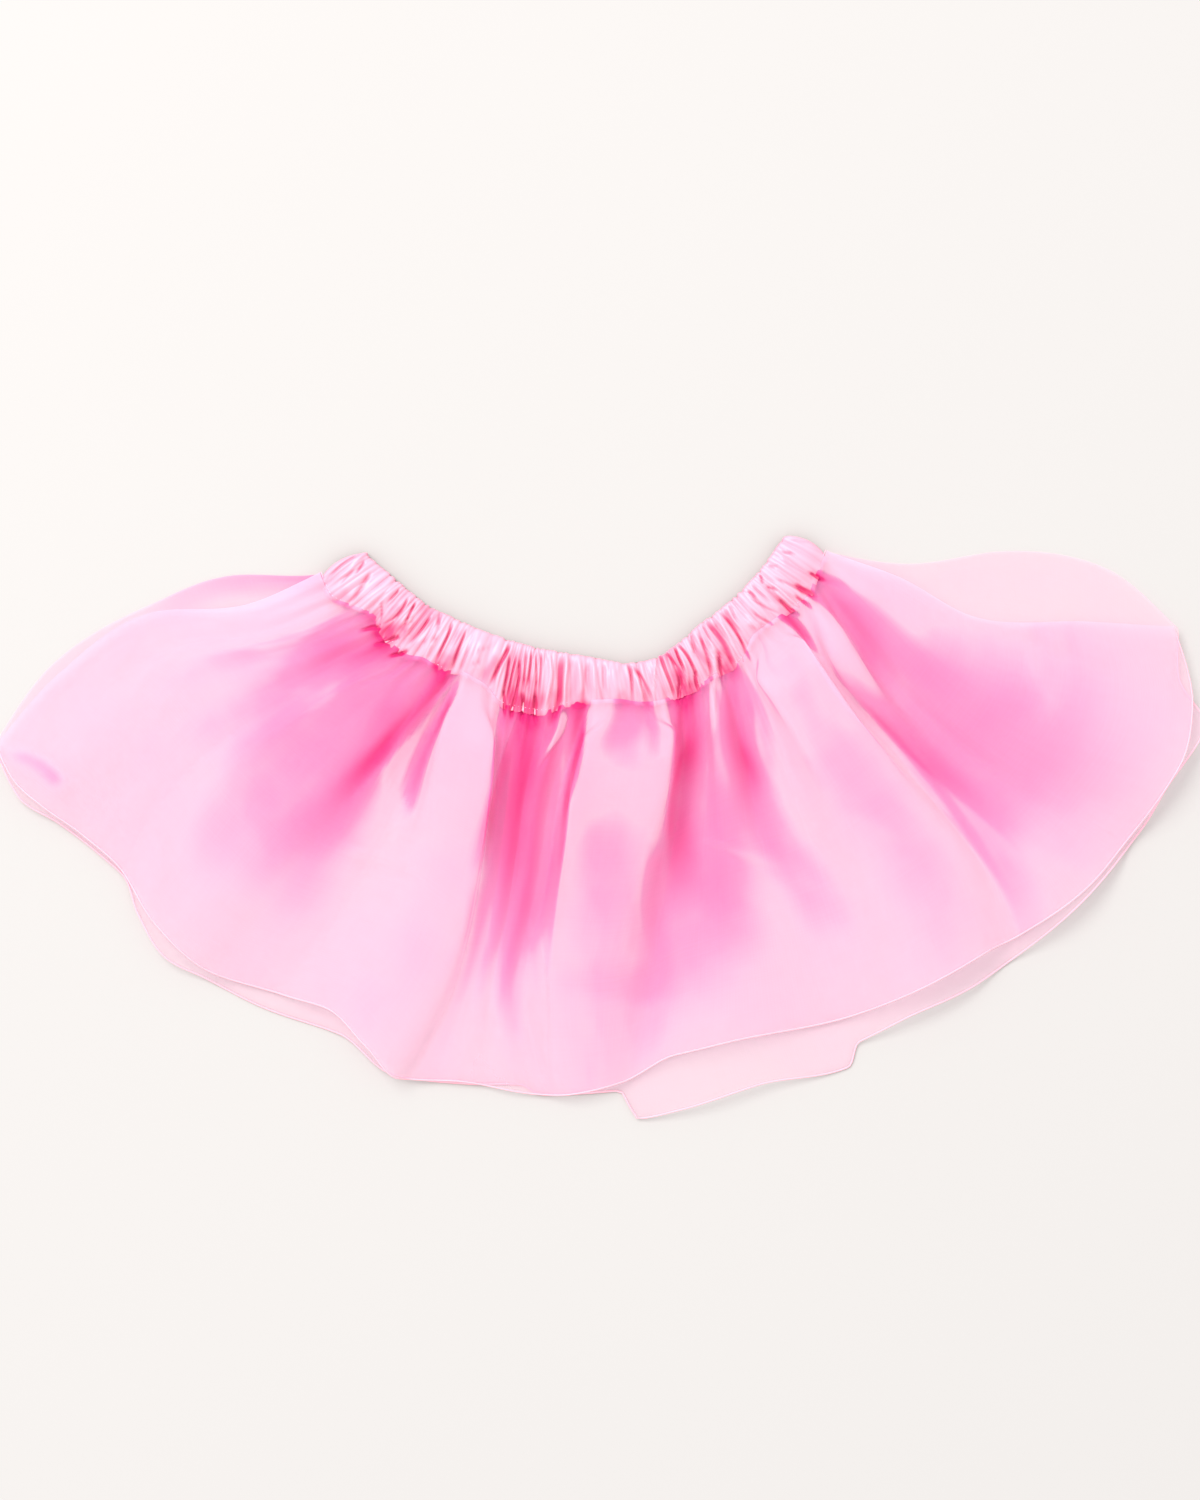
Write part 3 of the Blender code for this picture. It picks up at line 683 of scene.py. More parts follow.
class NodeBuilder:
    """A small helper that adds and links the nodes of one material."""

    def __init__(self, name: str) -> None:
        """Start an empty material.

        Args:
            name: The material's name.
        """
        self.material = bpy.data.materials.new(name)
        self.material.use_nodes = True
        self.tree = self.material.node_tree
        self.tree.nodes.clear()

    def put(self, socket: Socket, value: Value) -> None:
        """Link another node's output to a socket, or set a number or colour on the socket itself.

        Args:
            socket: The input.
            value: An output socket, a number, a vector or a colour.
        """
        if isinstance(value, Socket):
            self.tree.links.new(value, socket)
        elif socket.type == "RGBA":
            socket.default_value = (*value, 1.0)
        else:
            socket.default_value = value

    def node(
        self, kind: str, inputs: dict[str | int, Value] | None = None, **settings: str
    ) -> bpy.types.Node:
        """Add a node.

        Args:
            kind: Its type, without the ShaderNode that starts the type's name.
            inputs: Socket name or number to a constant, or to another node's output socket.
            **settings: Properties of the node itself.

        Returns:
            The node.
        """
        node = self.tree.nodes.new(f"ShaderNode{kind}")
        for name, value in settings.items():
            setattr(node, name, value)
        for name, value in (inputs or {}).items():
            self.put(node.inputs[name], value)
        return node

    def add(self, kind: str, inputs: dict[str | int, Value], **settings: str) -> Socket:
        """Add a node of this kind, inputs and settings, and return its first output."""
        return self.node(kind, inputs, **settings).outputs[0]

    def coordinates(self, kind: str) -> Socket:
        """Return texture coordinates of a kind, such as UV or Object."""
        return self.node("TexCoord").outputs[kind]

    def stretched(self, vector: Socket, x: float, y: float) -> Socket:
        """Return coordinates scaled by x and y, which draws a noise out into threads."""
        return self.add("Mapping", {"Vector": vector, "Scale": (x, y, 1.0)})

    def noise(self, vector: Socket, scale: float = 1.0, detail: float = 2.0) -> Socket:
        """Return a noise over the coordinates."""
        return self.add("TexNoise", {"Vector": vector, "Scale": scale, "Detail": detail})

    def bump(self, height: Socket, strength: float, distance: float) -> Socket:
        """Return the normal of a face with this height pressed into it, distance in metres."""
        return self.add("Bump", {"Height": height, "Strength": strength, "Distance": distance})

    def math(self, operation: str, first: Value, second: Value, third: Value = 0.0) -> Socket:
        """Return the output of a Math node on two or three values or sockets."""
        return self.add("Math", {0: first, 1: second, 2: third}, operation=operation)

    def attribute(self, shade: Shade) -> Socket:
        """Return the number that a point attribute holds."""
        return self.node("Attribute", attribute_name=shade.value).outputs["Fac"]

    def blend(self, factor: Socket, first: Value, second: Colour) -> Socket:
        """Mix two colours.

        Args:
            factor: The share of the second, 0 to 1.
            first: A colour, or another node's output.
            second: A colour.

        Returns:
            The mix.
        """
        node = self.node("Mix", data_type="RGBA")
        colours = [socket for socket in node.inputs if socket.type == "RGBA"]
        for socket, value in zip((node.inputs[0], *colours), (factor, first, second)):
            self.put(socket, value)
        return next(socket for socket in node.outputs if socket.type == "RGBA")

    def ramp(self, value: Socket, low: float, high: float) -> Socket:
        """Return value's place between low and high, as 0 to 1."""
        return self.add("MapRange", {"Value": value, "From Min": low, "From Max": high})

    def finish(self, shader: Socket) -> bpy.types.Material:
        """Link the shader to the output and return the material."""
        self.node("OutputMaterial", {"Surface": shader})
        return self.material


@dataclass(frozen=True)
class OrganzaFinish:
    """Sheer organza: a thin pink weave that lets most light through, deepens where bunched and where
    shade is painted into valleys and beside fold edges, and is painted paler near the waist.
    """

    name: str = "sheer pink organza"
    thin_colour: Colour = (1.0, 0.30, 0.68)
    # deep pink of many layers, and of the painted shade laid into valleys and beside fold edges
    deep_layers_and_shade_colour: Colour = (0.86, 0.03, 0.25)
    # painted light near the waist: a paler colour and more cover
    painted_light_colour: Colour = (1.0, 0.64, 0.80)
    painted_light_cover: float = 0.8
    painted_light_full: float = 0.36
    cover: float = 0.265
    deep_from: float = 1.0
    deep_to: float = 6.0
    back_light: float = 0.5
    roughness: float = 0.5
    specular: float = 0.2
    sheen: float = 0.12
    sheen_roughness: float = 0.4
    sheen_tint: Colour = (1.0, 0.8, 0.92)
    streak_scale: float = 900.0
    streak_length_scale: float = 25.0
    streak_share: float = 0.10
    weave_pitch: float = 0.55 * MM
    weave_bump: float = 0.15
    weave_depth: float = 0.2 * MM

    def make(self) -> bpy.types.Material:
        """Build the material.

        Its cover is 1 - (1 - cover) ** layers, so bunched cloth hides as that many layers do; the same
        count, which also holds painted shade, deepens the colour.

        Returns:
            The material, which reads the attribute of layers with painted shade, the attribute of
            painted light and the panel's UV map in metres.
        """
        build = NodeBuilder(self.name)
        # layers of cloth with painted shade, and painted light near the waist
        fullness, pale = build.attribute(Shade.LAYERS_AND_SHADE), build.attribute(Shade.PAINTED_LIGHT)
        uv = build.coordinates("UV")
        fine, long = self.streak_scale, self.streak_length_scale
        warp = build.noise(build.stretched(uv, fine, long), detail=1.0)
        weft = build.noise(build.stretched(uv, long, fine), detail=1.0)
        threads = build.math("ADD", warp, weft)
        streak = build.math("MULTIPLY_ADD", threads, self.streak_share, 1.0 - self.streak_share)
        layers = build.math("MULTIPLY", fullness, streak)
        open_share = build.math("POWER", 1.0 - self.cover, layers)
        # painted light: more cover and a paler colour near the waist
        closed = build.math("MULTIPLY_ADD", pale, -self.painted_light_cover, 1.0)
        cover = build.math("SUBTRACT", 1.0, build.math("MULTIPLY", open_share, closed))
        depth = build.ramp(fullness, self.deep_from, self.deep_to)
        colour = build.blend(depth, self.thin_colour, self.deep_layers_and_shade_colour)
        colour = build.blend(build.ramp(pale, 0.0, self.painted_light_full), colour, self.painted_light_colour)
        normal = build.bump(self.weave(build, uv), self.weave_bump, self.weave_depth)
        look = {"Base Color": colour, "Roughness": self.roughness, "Normal": normal}
        look |= {"Sheen Weight": self.sheen, "Sheen Roughness": self.sheen_roughness}
        look |= {"Sheen Tint": self.sheen_tint, "Specular IOR Level": self.specular}
        face = build.add("BsdfPrincipled", look)
        through = build.add("BsdfTranslucent", {"Color": colour, "Normal": normal})
        fibre = build.add("MixShader", {0: self.back_light, 1: face, 2: through})
        gap = build.add("BsdfTransparent", {})
        return build.finish(build.add("MixShader", {0: cover, 1: gap, 2: fibre}))

    def weave(self, build: NodeBuilder, uv: Socket) -> Socket:
        """Make the weave's relief: waves across the threads and along them, multiplied.

        Args:
            build: The material's builder.
            uv: The panel's UV map in metres.

        Returns:
            The relief, 0 to 1.
        """
        scale = 0.5 / self.weave_pitch / math.pi  # a wave spans about two pitches of the map
        waves = [
            build.node("TexWave", {"Vector": uv, "Scale": scale}, bands_direction=axis)
            for axis in ("X", "Y")
        ]
        return build.math("MULTIPLY", *(wave.outputs["Fac"] for wave in waves))


@dataclass(frozen=True)
class SatinFinish:
    """Casing satin: pale and glossy on the crests, with deep pink painted shade in the creases and
    along the lower edge.
    """

    name: str = "pale pink satin"
    crest_colour: Colour = (0.765, 0.358, 0.468)
    # painted shade in the creases
    crease_shade_colour: Colour = (0.60, 0.04, 0.15)
    roughness: float = 0.38
    drawn_shine: float = 0.4
    sheen: float = 0.3
    sheen_roughness: float = 0.35
    sheen_tint: Colour = (1.0, 0.85, 0.93)
    thread_scale: float = 1400.0
    thread_length_scale: float = 60.0
    thread_bump: float = 0.12
    thread_depth: float = 0.15 * MM

    def make(self) -> bpy.types.Material:
        """Build the material.

        Returns:
            The material, which reads the painted crease shade attribute and the casing's UV map.
        """
        build = NodeBuilder(self.name)
        # painted shade in the creases and along the lower edge, with a faint random tone
        crease = build.attribute(Shade.CREASE)
        colour = build.blend(crease, self.crest_colour, self.crease_shade_colour)
        uv = build.coordinates("UV")
        thread = build.noise(build.stretched(uv, self.thread_scale, self.thread_length_scale))
        normal = build.bump(thread, self.thread_bump, self.thread_depth)
        look = {"Base Color": colour, "Roughness": self.roughness, "Normal": normal}
        look |= {"Anisotropic": self.drawn_shine, "Sheen Weight": self.sheen}
        look |= {"Sheen Roughness": self.sheen_roughness, "Sheen Tint": self.sheen_tint}
        return build.finish(build.add("BsdfPrincipled", look))


@dataclass(frozen=True)
class ThreadFinish:
    """Sewing thread: one colour with a fine twist along it."""

    name: str
    colour: Colour
    roughness: float = 0.55
    twist_scale: float = 1500.0
    twist_bump: float = 0.2
    twist_depth: float = 0.1 * MM
    twist_lightening: float = 1.12

    def make(self) -> bpy.types.Material:
        """Build the material, with the twist as a noise on Object coordinates.

        Returns:
            The material.
        """
        build = NodeBuilder(self.name)
        twist = build.noise(build.coordinates("Object"), self.twist_scale)
        normal = build.bump(twist, self.twist_bump, self.twist_depth)
        lighter = tuple(min(1.0, part * self.twist_lightening) for part in self.colour)
        colour = build.blend(twist, self.colour, lighter)
        look = {"Base Color": colour, "Roughness": self.roughness, "Normal": normal}
        return build.finish(build.add("BsdfPrincipled", look))


# ---- mesh makers --------------------------------------------------------------------------


@dataclass
class Sheet:
    """A surface on a grid: points (rows, columns, 3), a UV map in metres and shades."""

    name: str
    points: np.ndarray
    uv: np.ndarray
    shades: dict[Shade, np.ndarray] = field(default_factory=dict)
    closed_rows: bool = False

    def build(self, material: bpy.types.Material) -> bpy.types.Object:
        """Make the object from its arrays.

        Args:
            material: The finish.

        Returns:
            The new object, linked to the scene, at the origin with its place in its mesh.
        """
        rows, cols, _ = self.points.shape
        index = np.arange(rows * cols).reshape(rows, cols)
        if self.closed_rows:
            index = np.concatenate((index, index[:1]), axis=0)
        quads = np.stack(
            (index[1:, :-1], index[1:, 1:], index[:-1, 1:], index[:-1, :-1]), axis=-1
        ).reshape(-1, 4)
        mesh = bpy.data.meshes.new(self.name)
        mesh.vertices.add(rows * cols)
        mesh.vertices.foreach_set("co", self.points.reshape(-1))
        mesh.loops.add(quads.size)
        mesh.loops.foreach_set("vertex_index", quads.reshape(-1))
        mesh.polygons.add(len(quads))
        mesh.polygons.foreach_set("loop_start", np.arange(0, quads.size, 4))
        mesh.update(calc_edges=True)
        layer = mesh.uv_layers.new(name="cloth")
        layer.data.foreach_set("uv", self.uv.reshape(-1, 2)[quads.reshape(-1)].reshape(-1))
        for shade, values in self.shades.items():
            slot = mesh.attributes.new(shade.value, "FLOAT", "POINT")
            slot.data.foreach_set("value", values.reshape(-1).astype(np.float32))
        mesh.shade_smooth()
        mesh.validate()
        mesh.materials.append(material)
        piece = bpy.data.objects.new(self.name, mesh)
        bpy.context.scene.collection.objects.link(piece)
        return piece


def path_length(path: np.ndarray) -> np.ndarray:
    """Return the length walked along a path at each of its points, in metres."""
    return np.concatenate(([0.0], np.cumsum(np.linalg.norm(np.diff(path, axis=0), axis=-1))))


def from_ends(count: int) -> np.ndarray:
    """Return each place's distance from the nearer end of a row, counted in places."""
    return np.minimum(np.arange(count), np.arange(count)[::-1])


def unit(vectors: np.ndarray) -> np.ndarray:
    """Return the vectors at length 1."""
    return vectors / np.maximum(np.linalg.norm(vectors, axis=-1, keepdims=True), 1e-9)


def tube_along(
    name: str, path: np.ndarray, half_width: float, half_height: float, sides: int
) -> Sheet:
    """Carry an oval section along a path.

    Each ring is the path's point plus an oval square to the path. The oval's width runs level,
    so the tube never twists, and the last rings shrink to close its ends.

    Args:
        name: The piece's name.
        path: Points along it, (count, 3).
        half_width: Half its width across, in metres.
        half_height: Half its height, in metres.
        sides: Corners of the section.

    Returns:
        The tube as a sheet that is closed round its section.
    """
    ahead = np.gradient(path, axis=0)
    side = unit(np.stack((ahead[:, 1], -ahead[:, 0], np.zeros(len(path))), axis=-1))
    up = unit(np.cross(side, ahead))
    turn = np.linspace(0.0, 2.0 * np.pi, sides, endpoint=False)[:, None, None]
    taper = np.minimum(1.0, from_ends(len(path)) / END_RINGS + END_SIZE)
    oval = side * np.cos(turn) * half_width + up * np.sin(turn) * half_height
    points = path[None] + oval * taper[None, :, None]
    length = path_length(path)
    around = np.broadcast_to(turn[..., 0] * half_width, points.shape[:2])
    uv = np.stack((np.broadcast_to(length, points.shape[:2]), around), axis=-1)
    return Sheet(name, points, uv, closed_rows=True)


def settle(piece: bpy.types.Object, slot: str, *replaced: str) -> bpy.types.Object:
    """Let a piece ride on the tutu's one body, and report it.

    Args:
        piece: The piece.
        slot: Not used.
        *replaced: The nodes it stands for, if it replaces any.

    Returns:
        The piece.
    """
    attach(piece, BODY)
    if replaced:
        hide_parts(*replaced)
    LOG.info("%s: %d faces on %s", piece.name, len(piece.data.polygons), BODY)
    return piece


# ---- the skirt ----------------------------------------------------------------------------


@dataclass
class SkirtPanel:
    """One gathered organza panel, from the waist seam to its rolled hem.

    A point of the cloth is named by the angle of its thread at the seam and its share of the way
    down. The thread's angle there comes from the grain table and its radius from the hem table.
    """

    name: str
    node: str
    grain: Sequence[GrainRow]
    hem: Sequence[HemRow]
    folds: Sequence[FoldRow]
    marks: Sequence[MarkRow]
    seam_height: float
    lie_height: float
    gather_depth: float
    gathers_end: float
    flat_size: tuple[float, float] = (0.66, 0.165)
    rests_on: str = "back_organza"

    # the grid
    per_gather: int = 14
    rows: int = 150
    crowding: float = 1.35
    tuck: float = 1.6 * MM
    tuck_share: float = 0.012

    # heights; drops, starts and ends that aren't in MM are shares of the way down, and
    # broad_fold is the half width in degrees from which a fold has a flat top
    wall_middle: float = 0.6 * MM
    clearance: float = 0.2 * MM
    seam_drop: float = 0.42
    seam_rise: float = 0.1
    broad_fold: float = 4.0
    lean_full: float = 0.25
    lift_starts: float = 190.0 * MM
    lift_full: float = 285.0 * MM
    cockle_height: float = 0.5 * MM
    cockle_start: float = 0.3
    crease_run: float = 1.0

    # how far the sides of tall folds roll under, beginning at a fold's height roll_from and in
    # full roll_over above it, in millimetres; before, start and end are shares of the way down
    roll: float = 0.34
    roll_from: float = 3.0
    roll_over: float = 9.0
    roll_gain: float = 1.8
    roll_before: float = 0.03
    roll_start: float = 0.12
    roll_end: float = 0.8

    # layers of cloth, with painted shade counted as layers
    open_fullness: float = 0.15
    bunch_share: float = 0.3
    most_bunched: float = 4.0
    # the deep line in each gather's valley: partly doubled cloth, partly painted shade
    line_strength: float = 0.35
    line_power: int = 5
    least_fullness: float = 0.15
    softness: float = 0.09
    hem_thinning: float = 0.3
    thins_from: float = 0.4
    # layers of painted shade for each unit of the casing's crease shade
    crease_shade_layers: float = 5.0
    steep_share: float = 0.25
    least_upright: float = 0.3
    mottle_share: float = 1.5
    mottle_drift: float = 0.16
    mottle_fine: float = 0.2
    mottle_start: float = 0.15

    # painted light: near the waist, where few layers lie, the cloth is painted paler and more opaque
    painted_light_strength: float = 0.8
    painted_light_share: float = 0.55
    painted_light_least: float = 0.33
    painted_light_layers: float = 0.7
    painted_light_fade: float = 1.6

    @property
    def cut_pitch(self) -> float:
        """Return the width of flat cloth drawn up into each gather."""
        return self.flat_size[0] / GATHERS.count

    def threads(self) -> tuple[np.ndarray, np.ndarray, np.ndarray]:
        """Lay out the panel's grid.

        Returns:
            The seam angles, the phases and the shares of the way down.
        """
        seams, phases = GATHERS.angles(self.per_gather)
        below = np.linspace(0.0, 1.0, self.rows) ** self.crowding
        seam, share = np.meshgrid(seams, np.concatenate(([-self.tuck_share], below)))
        return seam, np.broadcast_to(phases, seam.shape), share

    def thread_angle(self, seam: np.ndarray, share: np.ndarray) -> np.ndarray:
        """Follow each thread down the panel by the grain table.

        Args:
            seam: Seam angles of the threads.
            share: Shares of the way down.

        Returns:
            The fan angles there.
        """
        seams, *stations = columns(self.grain, *GrainRow._fields)
        angles = [seam] + [smooth_table(seam, seams, station) for station in stations]
        return smooth_down(np.clip(share, 0.0, 1.0), GRAIN_STATIONS, angles)

    def radius(self, seam: np.ndarray, share: np.ndarray) -> np.ndarray:
        """Work out the radius along each thread.

        Args:
            seam: Seam angles of the threads.
            share: Shares of the way down; below 0 the cloth is tucked under the casing.

        Returns:
            The radii in metres.
        """
        angles, radii = columns(self.hem, "angle", "radius")
        hem_angle = self.thread_angle(seam, np.ones_like(share))
        start = band_radius(seam, "outer")
        end = smooth_table(hem_angle, angles, radii) * MM
        return np.where(share < 0.0, start - self.tuck, start + (end - start) * share)

    def fold_form(self, seam: np.ndarray, share: np.ndarray) -> tuple[np.ndarray, ...]:
        """Work out what the folds add.

        Args:
            seam: Seam angles of the threads.
            share: Shares of the way down.

        Returns:
            The height, the sideways shift in metres, the shift of the thread in degrees that
            rolls each fold's sides under, and the change of layers, part of it painted shade.
        """
        height, shift, turn, fullness = (np.zeros_like(seam) for _ in range(4))
        down = np.clip(share, 0.0, 1.0)
        for row in self.folds:
            across = (seam - row.crest) / row.half_width
            swell = bell(across, 4 if row.half_width > self.broad_fold else 2)
            rises = (row.neck * self.seam_rise, row.neck, row.mid, row.hem)
            stand = smooth_table(down, FOLD_STATIONS, rises)
            height += stand * MM * swell
            shift += row.lean * MM * swell * smoothstep(down / self.lean_full)
            tall = smoothstep((stand - self.roll_from) / self.roll_over)
            tall = tall * smoothstep((down + self.roll_before) / self.roll_start)
            tall = tall * (1.0 - smoothstep(down / self.roll_end))
            side = self.roll_gain * np.sin(np.pi * across) * bell(across)
            turn += self.roll * row.half_width * side * tall
            layers = (row.full_neck, row.full_neck, row.full_mid, row.full_hem)
            fullness += smooth_table(down, FOLD_STATIONS, layers) * bell(across)
        return height, shift, turn, fullness

    def lift(self, angle: np.ndarray, radius: np.ndarray) -> np.ndarray:
        """Work out how far the cloth stands off the ground in soft waves that grow to the hem.

        Args:
            angle: Fan angles of the points.
            radius: Their radii in metres.

        Returns:
            The heights in metres.
        """
        height = np.zeros_like(angle)
        for row in HEM_LIFTS:
            height += row.height * MM * bell((angle - row.angle) / row.half_width)
        return height * smoothstep((radius - self.lift_starts) / (self.lift_full - self.lift_starts))

    def mark_form(self, angle: np.ndarray, radius: np.ndarray) -> tuple[np.ndarray, np.ndarray]:
        """Work out what the marks add: a swell across each line, run out softly at its ends.

        Args:
            angle: Fan angles of the points.
            radius: Their radii in metres.

        Returns:
            The height in metres and the change of layers, part of it painted shade.
        """
        place = FAN.plan(angle, radius)
        height, fullness = np.zeros_like(angle), np.zeros_like(angle)
        for row in self.marks:
            swell, share = LINE.swell(place, row, (row.from_width, row.to_width), row.skew)
            height += row.height * MM * swell
            fullness += (row.from_full + (row.to_full - row.from_full) * share) * swell
        return height, fullness

    def steepness(self, points: np.ndarray) -> np.ndarray:
        """Work out how much thicker the cloth stands on steep sides.

        Args:
            points: The panel's points, (rows, columns, 3).

        Returns:
            A factor from 1 up: part of 1 / the normal's z.
        """
        normal = np.cross(np.gradient(points, axis=1), np.gradient(points, axis=0))
        length = np.maximum(np.linalg.norm(normal, axis=-1), 1e-12)
        upright = np.clip(np.abs(normal[..., 2]) / length, self.least_upright, 1.0)
        return 1.0 + self.steep_share * (1.0 / upright - 1.0)

    def cockle(self, seam: np.ndarray, share: np.ndarray) -> np.ndarray:
        """Return the faint uneven swells of soft cloth: slow waves along threads and across."""
        wave = wander(0.23 * seam + 1.1 * np.sin(4.0 * share), 0.7) * wander(7.0 * share, 2.1)
        return self.cockle_height * wave * smoothstep(share / self.cockle_start)

    def mottle(self, seam: np.ndarray, share: np.ndarray) -> np.ndarray:
        """Work out the cloudy unevenness of soft cloth: drifts along threads and across.

        Args:
            seam: Seam angles of the threads.
            share: Shares of the way down.

        Returns:
            The change of fullness, in layers.
        """
        drift = wander(0.3 * seam + 1.6 * np.sin(3.1 * share + 0.4), 1.9) + wander(8.0 * share, 0.6)
        fine = wander(0.75 * seam + 2.0 * np.sin(5.0 * share), 3.3) * wander(17.0 * share, 1.2)
        cloud = self.mottle_drift * drift + self.mottle_fine * fine
        return cloud * smoothstep(share / self.mottle_start)

    def bunching(self, pitch: np.ndarray, phase: np.ndarray, down: np.ndarray) -> np.ndarray:
        """Work out how many layers deep the plain cloth is bunched.

        It is the cut width over the width in plan, softened, plus a deep line in each gather's valley
        that fades with its own reach: partly doubled cloth, partly painted shade in the valley.

        Args:
            pitch: Room of one gather in plan, in metres.
            phase: Places along the waist, counted in gathers.
            down: Shares of the way down, from 0.

        Returns:
            The layers.
        """
        plan = np.clip(self.cut_pitch / pitch, 1.0, self.most_bunched)
        full = self.open_fullness + self.bunch_share * (plan - 1.0)
        valley = (0.5 + 0.5 * np.cos(2.0 * np.pi * phase)) ** self.line_power
        fade = 1.0 - smoothstep(down / GATHERS.reach(phase + 0.5))
        return full + self.line_strength * valley * fade * GATHERS.depth(phase + 0.5)

    def fullness(self, full: np.ndarray, down: np.ndarray) -> np.ndarray:
        """Even out the sum of all layers: never below the least, thinner to the hem, softened.

        Args:
            full: The sum, in layers.
            down: Shares of the way down, from 0.

        Returns:
            The layers.
        """
        full = full - self.least_fullness
        full = self.least_fullness + 0.5 * (full + np.sqrt(full * full + self.softness))
        thinned = smoothstep((down - self.thins_from) / (1.0 - self.thins_from))
        return softened(softened(full * (1.0 - self.hem_thinning * thinned)))

    def pale(self, full: np.ndarray, down: np.ndarray) -> np.ndarray:
        """Work out the painted light: near the waist, where few layers lie, the cloth is painted
        paler.

        Args:
            full: Layers.
            down: Shares of the way down, from 0.

        Returns:
            The painted light, 0 to 1.
        """
        near = 1.0 - smoothstep(down / self.painted_light_share)
        near = self.painted_light_least + (self.painted_light_strength - self.painted_light_least) * near
        return near * (1.0 - smoothstep((full - self.painted_light_layers) / self.painted_light_fade))

    def surface(self) -> tuple[Sheet, np.ndarray]:
        """Work out the panel.

        Returns:
            The sheet, and its hem's points in order.
        """
        seam, phase, share = self.threads()
        fold_height, fold_shift, turn, fold_full = self.fold_form(seam, share)
        angle = self.thread_angle(seam + turn, share)
        radius = self.radius(seam, share)
        pitch = GATHERS.pitch(self.thread_angle(seam, share), radius, phase)
        down = np.clip(share, 0.0, 1.0)
        crest = 0.5 * (1.0 - np.cos(2.0 * np.pi * phase))
        depth = self.gather_depth * GATHERS.room(pitch) * GATHERS.depth(phase)
        gather = depth * crest * (1.0 - smoothstep(down / self.gathers_end))
        drop = smoothstep(down / self.seam_drop)
        base = self.seam_height + (self.lie_height - self.seam_height) * drop
        height = base + self.wall_middle + gather + fold_height + self.lift(angle, radius)
        angle = angle + np.degrees(fold_shift / radius)
        mark_height, mark_full = self.mark_form(angle, radius)
        crease_height, shade = gather_creases(angle, radius)
        height = height + mark_height + self.cockle(seam, down) + self.crease_run * crease_height
        height = np.maximum(height, self.lie_height + self.clearance)
        points = FAN.point(angle, radius, height)
        full = self.bunching(pitch, phase, down) + fold_full + mark_full
        full = full + self.mottle_share * self.mottle(seam, down)
        # the painted shade of the casing's creases runs on into the skirt
        full = full + self.crease_run * self.crease_shade_layers * shade
        full = self.fullness(full, down) * self.steepness(points)
        uv = np.stack((phase * self.cut_pitch, share * self.flat_size[1]), axis=-1)
        # layers with painted shade, and painted light near the waist
        shades = {Shade.LAYERS_AND_SHADE: full, Shade.PAINTED_LIGHT: self.pale(full, down)}
        return Sheet(self.name, points, uv, shades), points[-1]


# ---- the casing ---------------------------------------------------------------------------


class CasingForm(NamedTuple):
    """The casing's gathers over a grid.

    height is each point's share of the gathers' depth, depth is in metres, crease is painted shade
    from 0 to 1, with a faint random tone, and placed is the height in metres of the creases that
    the table places.
    """

    height: np.ndarray
    depth: np.ndarray
    crease: np.ndarray
    placed: np.ndarray


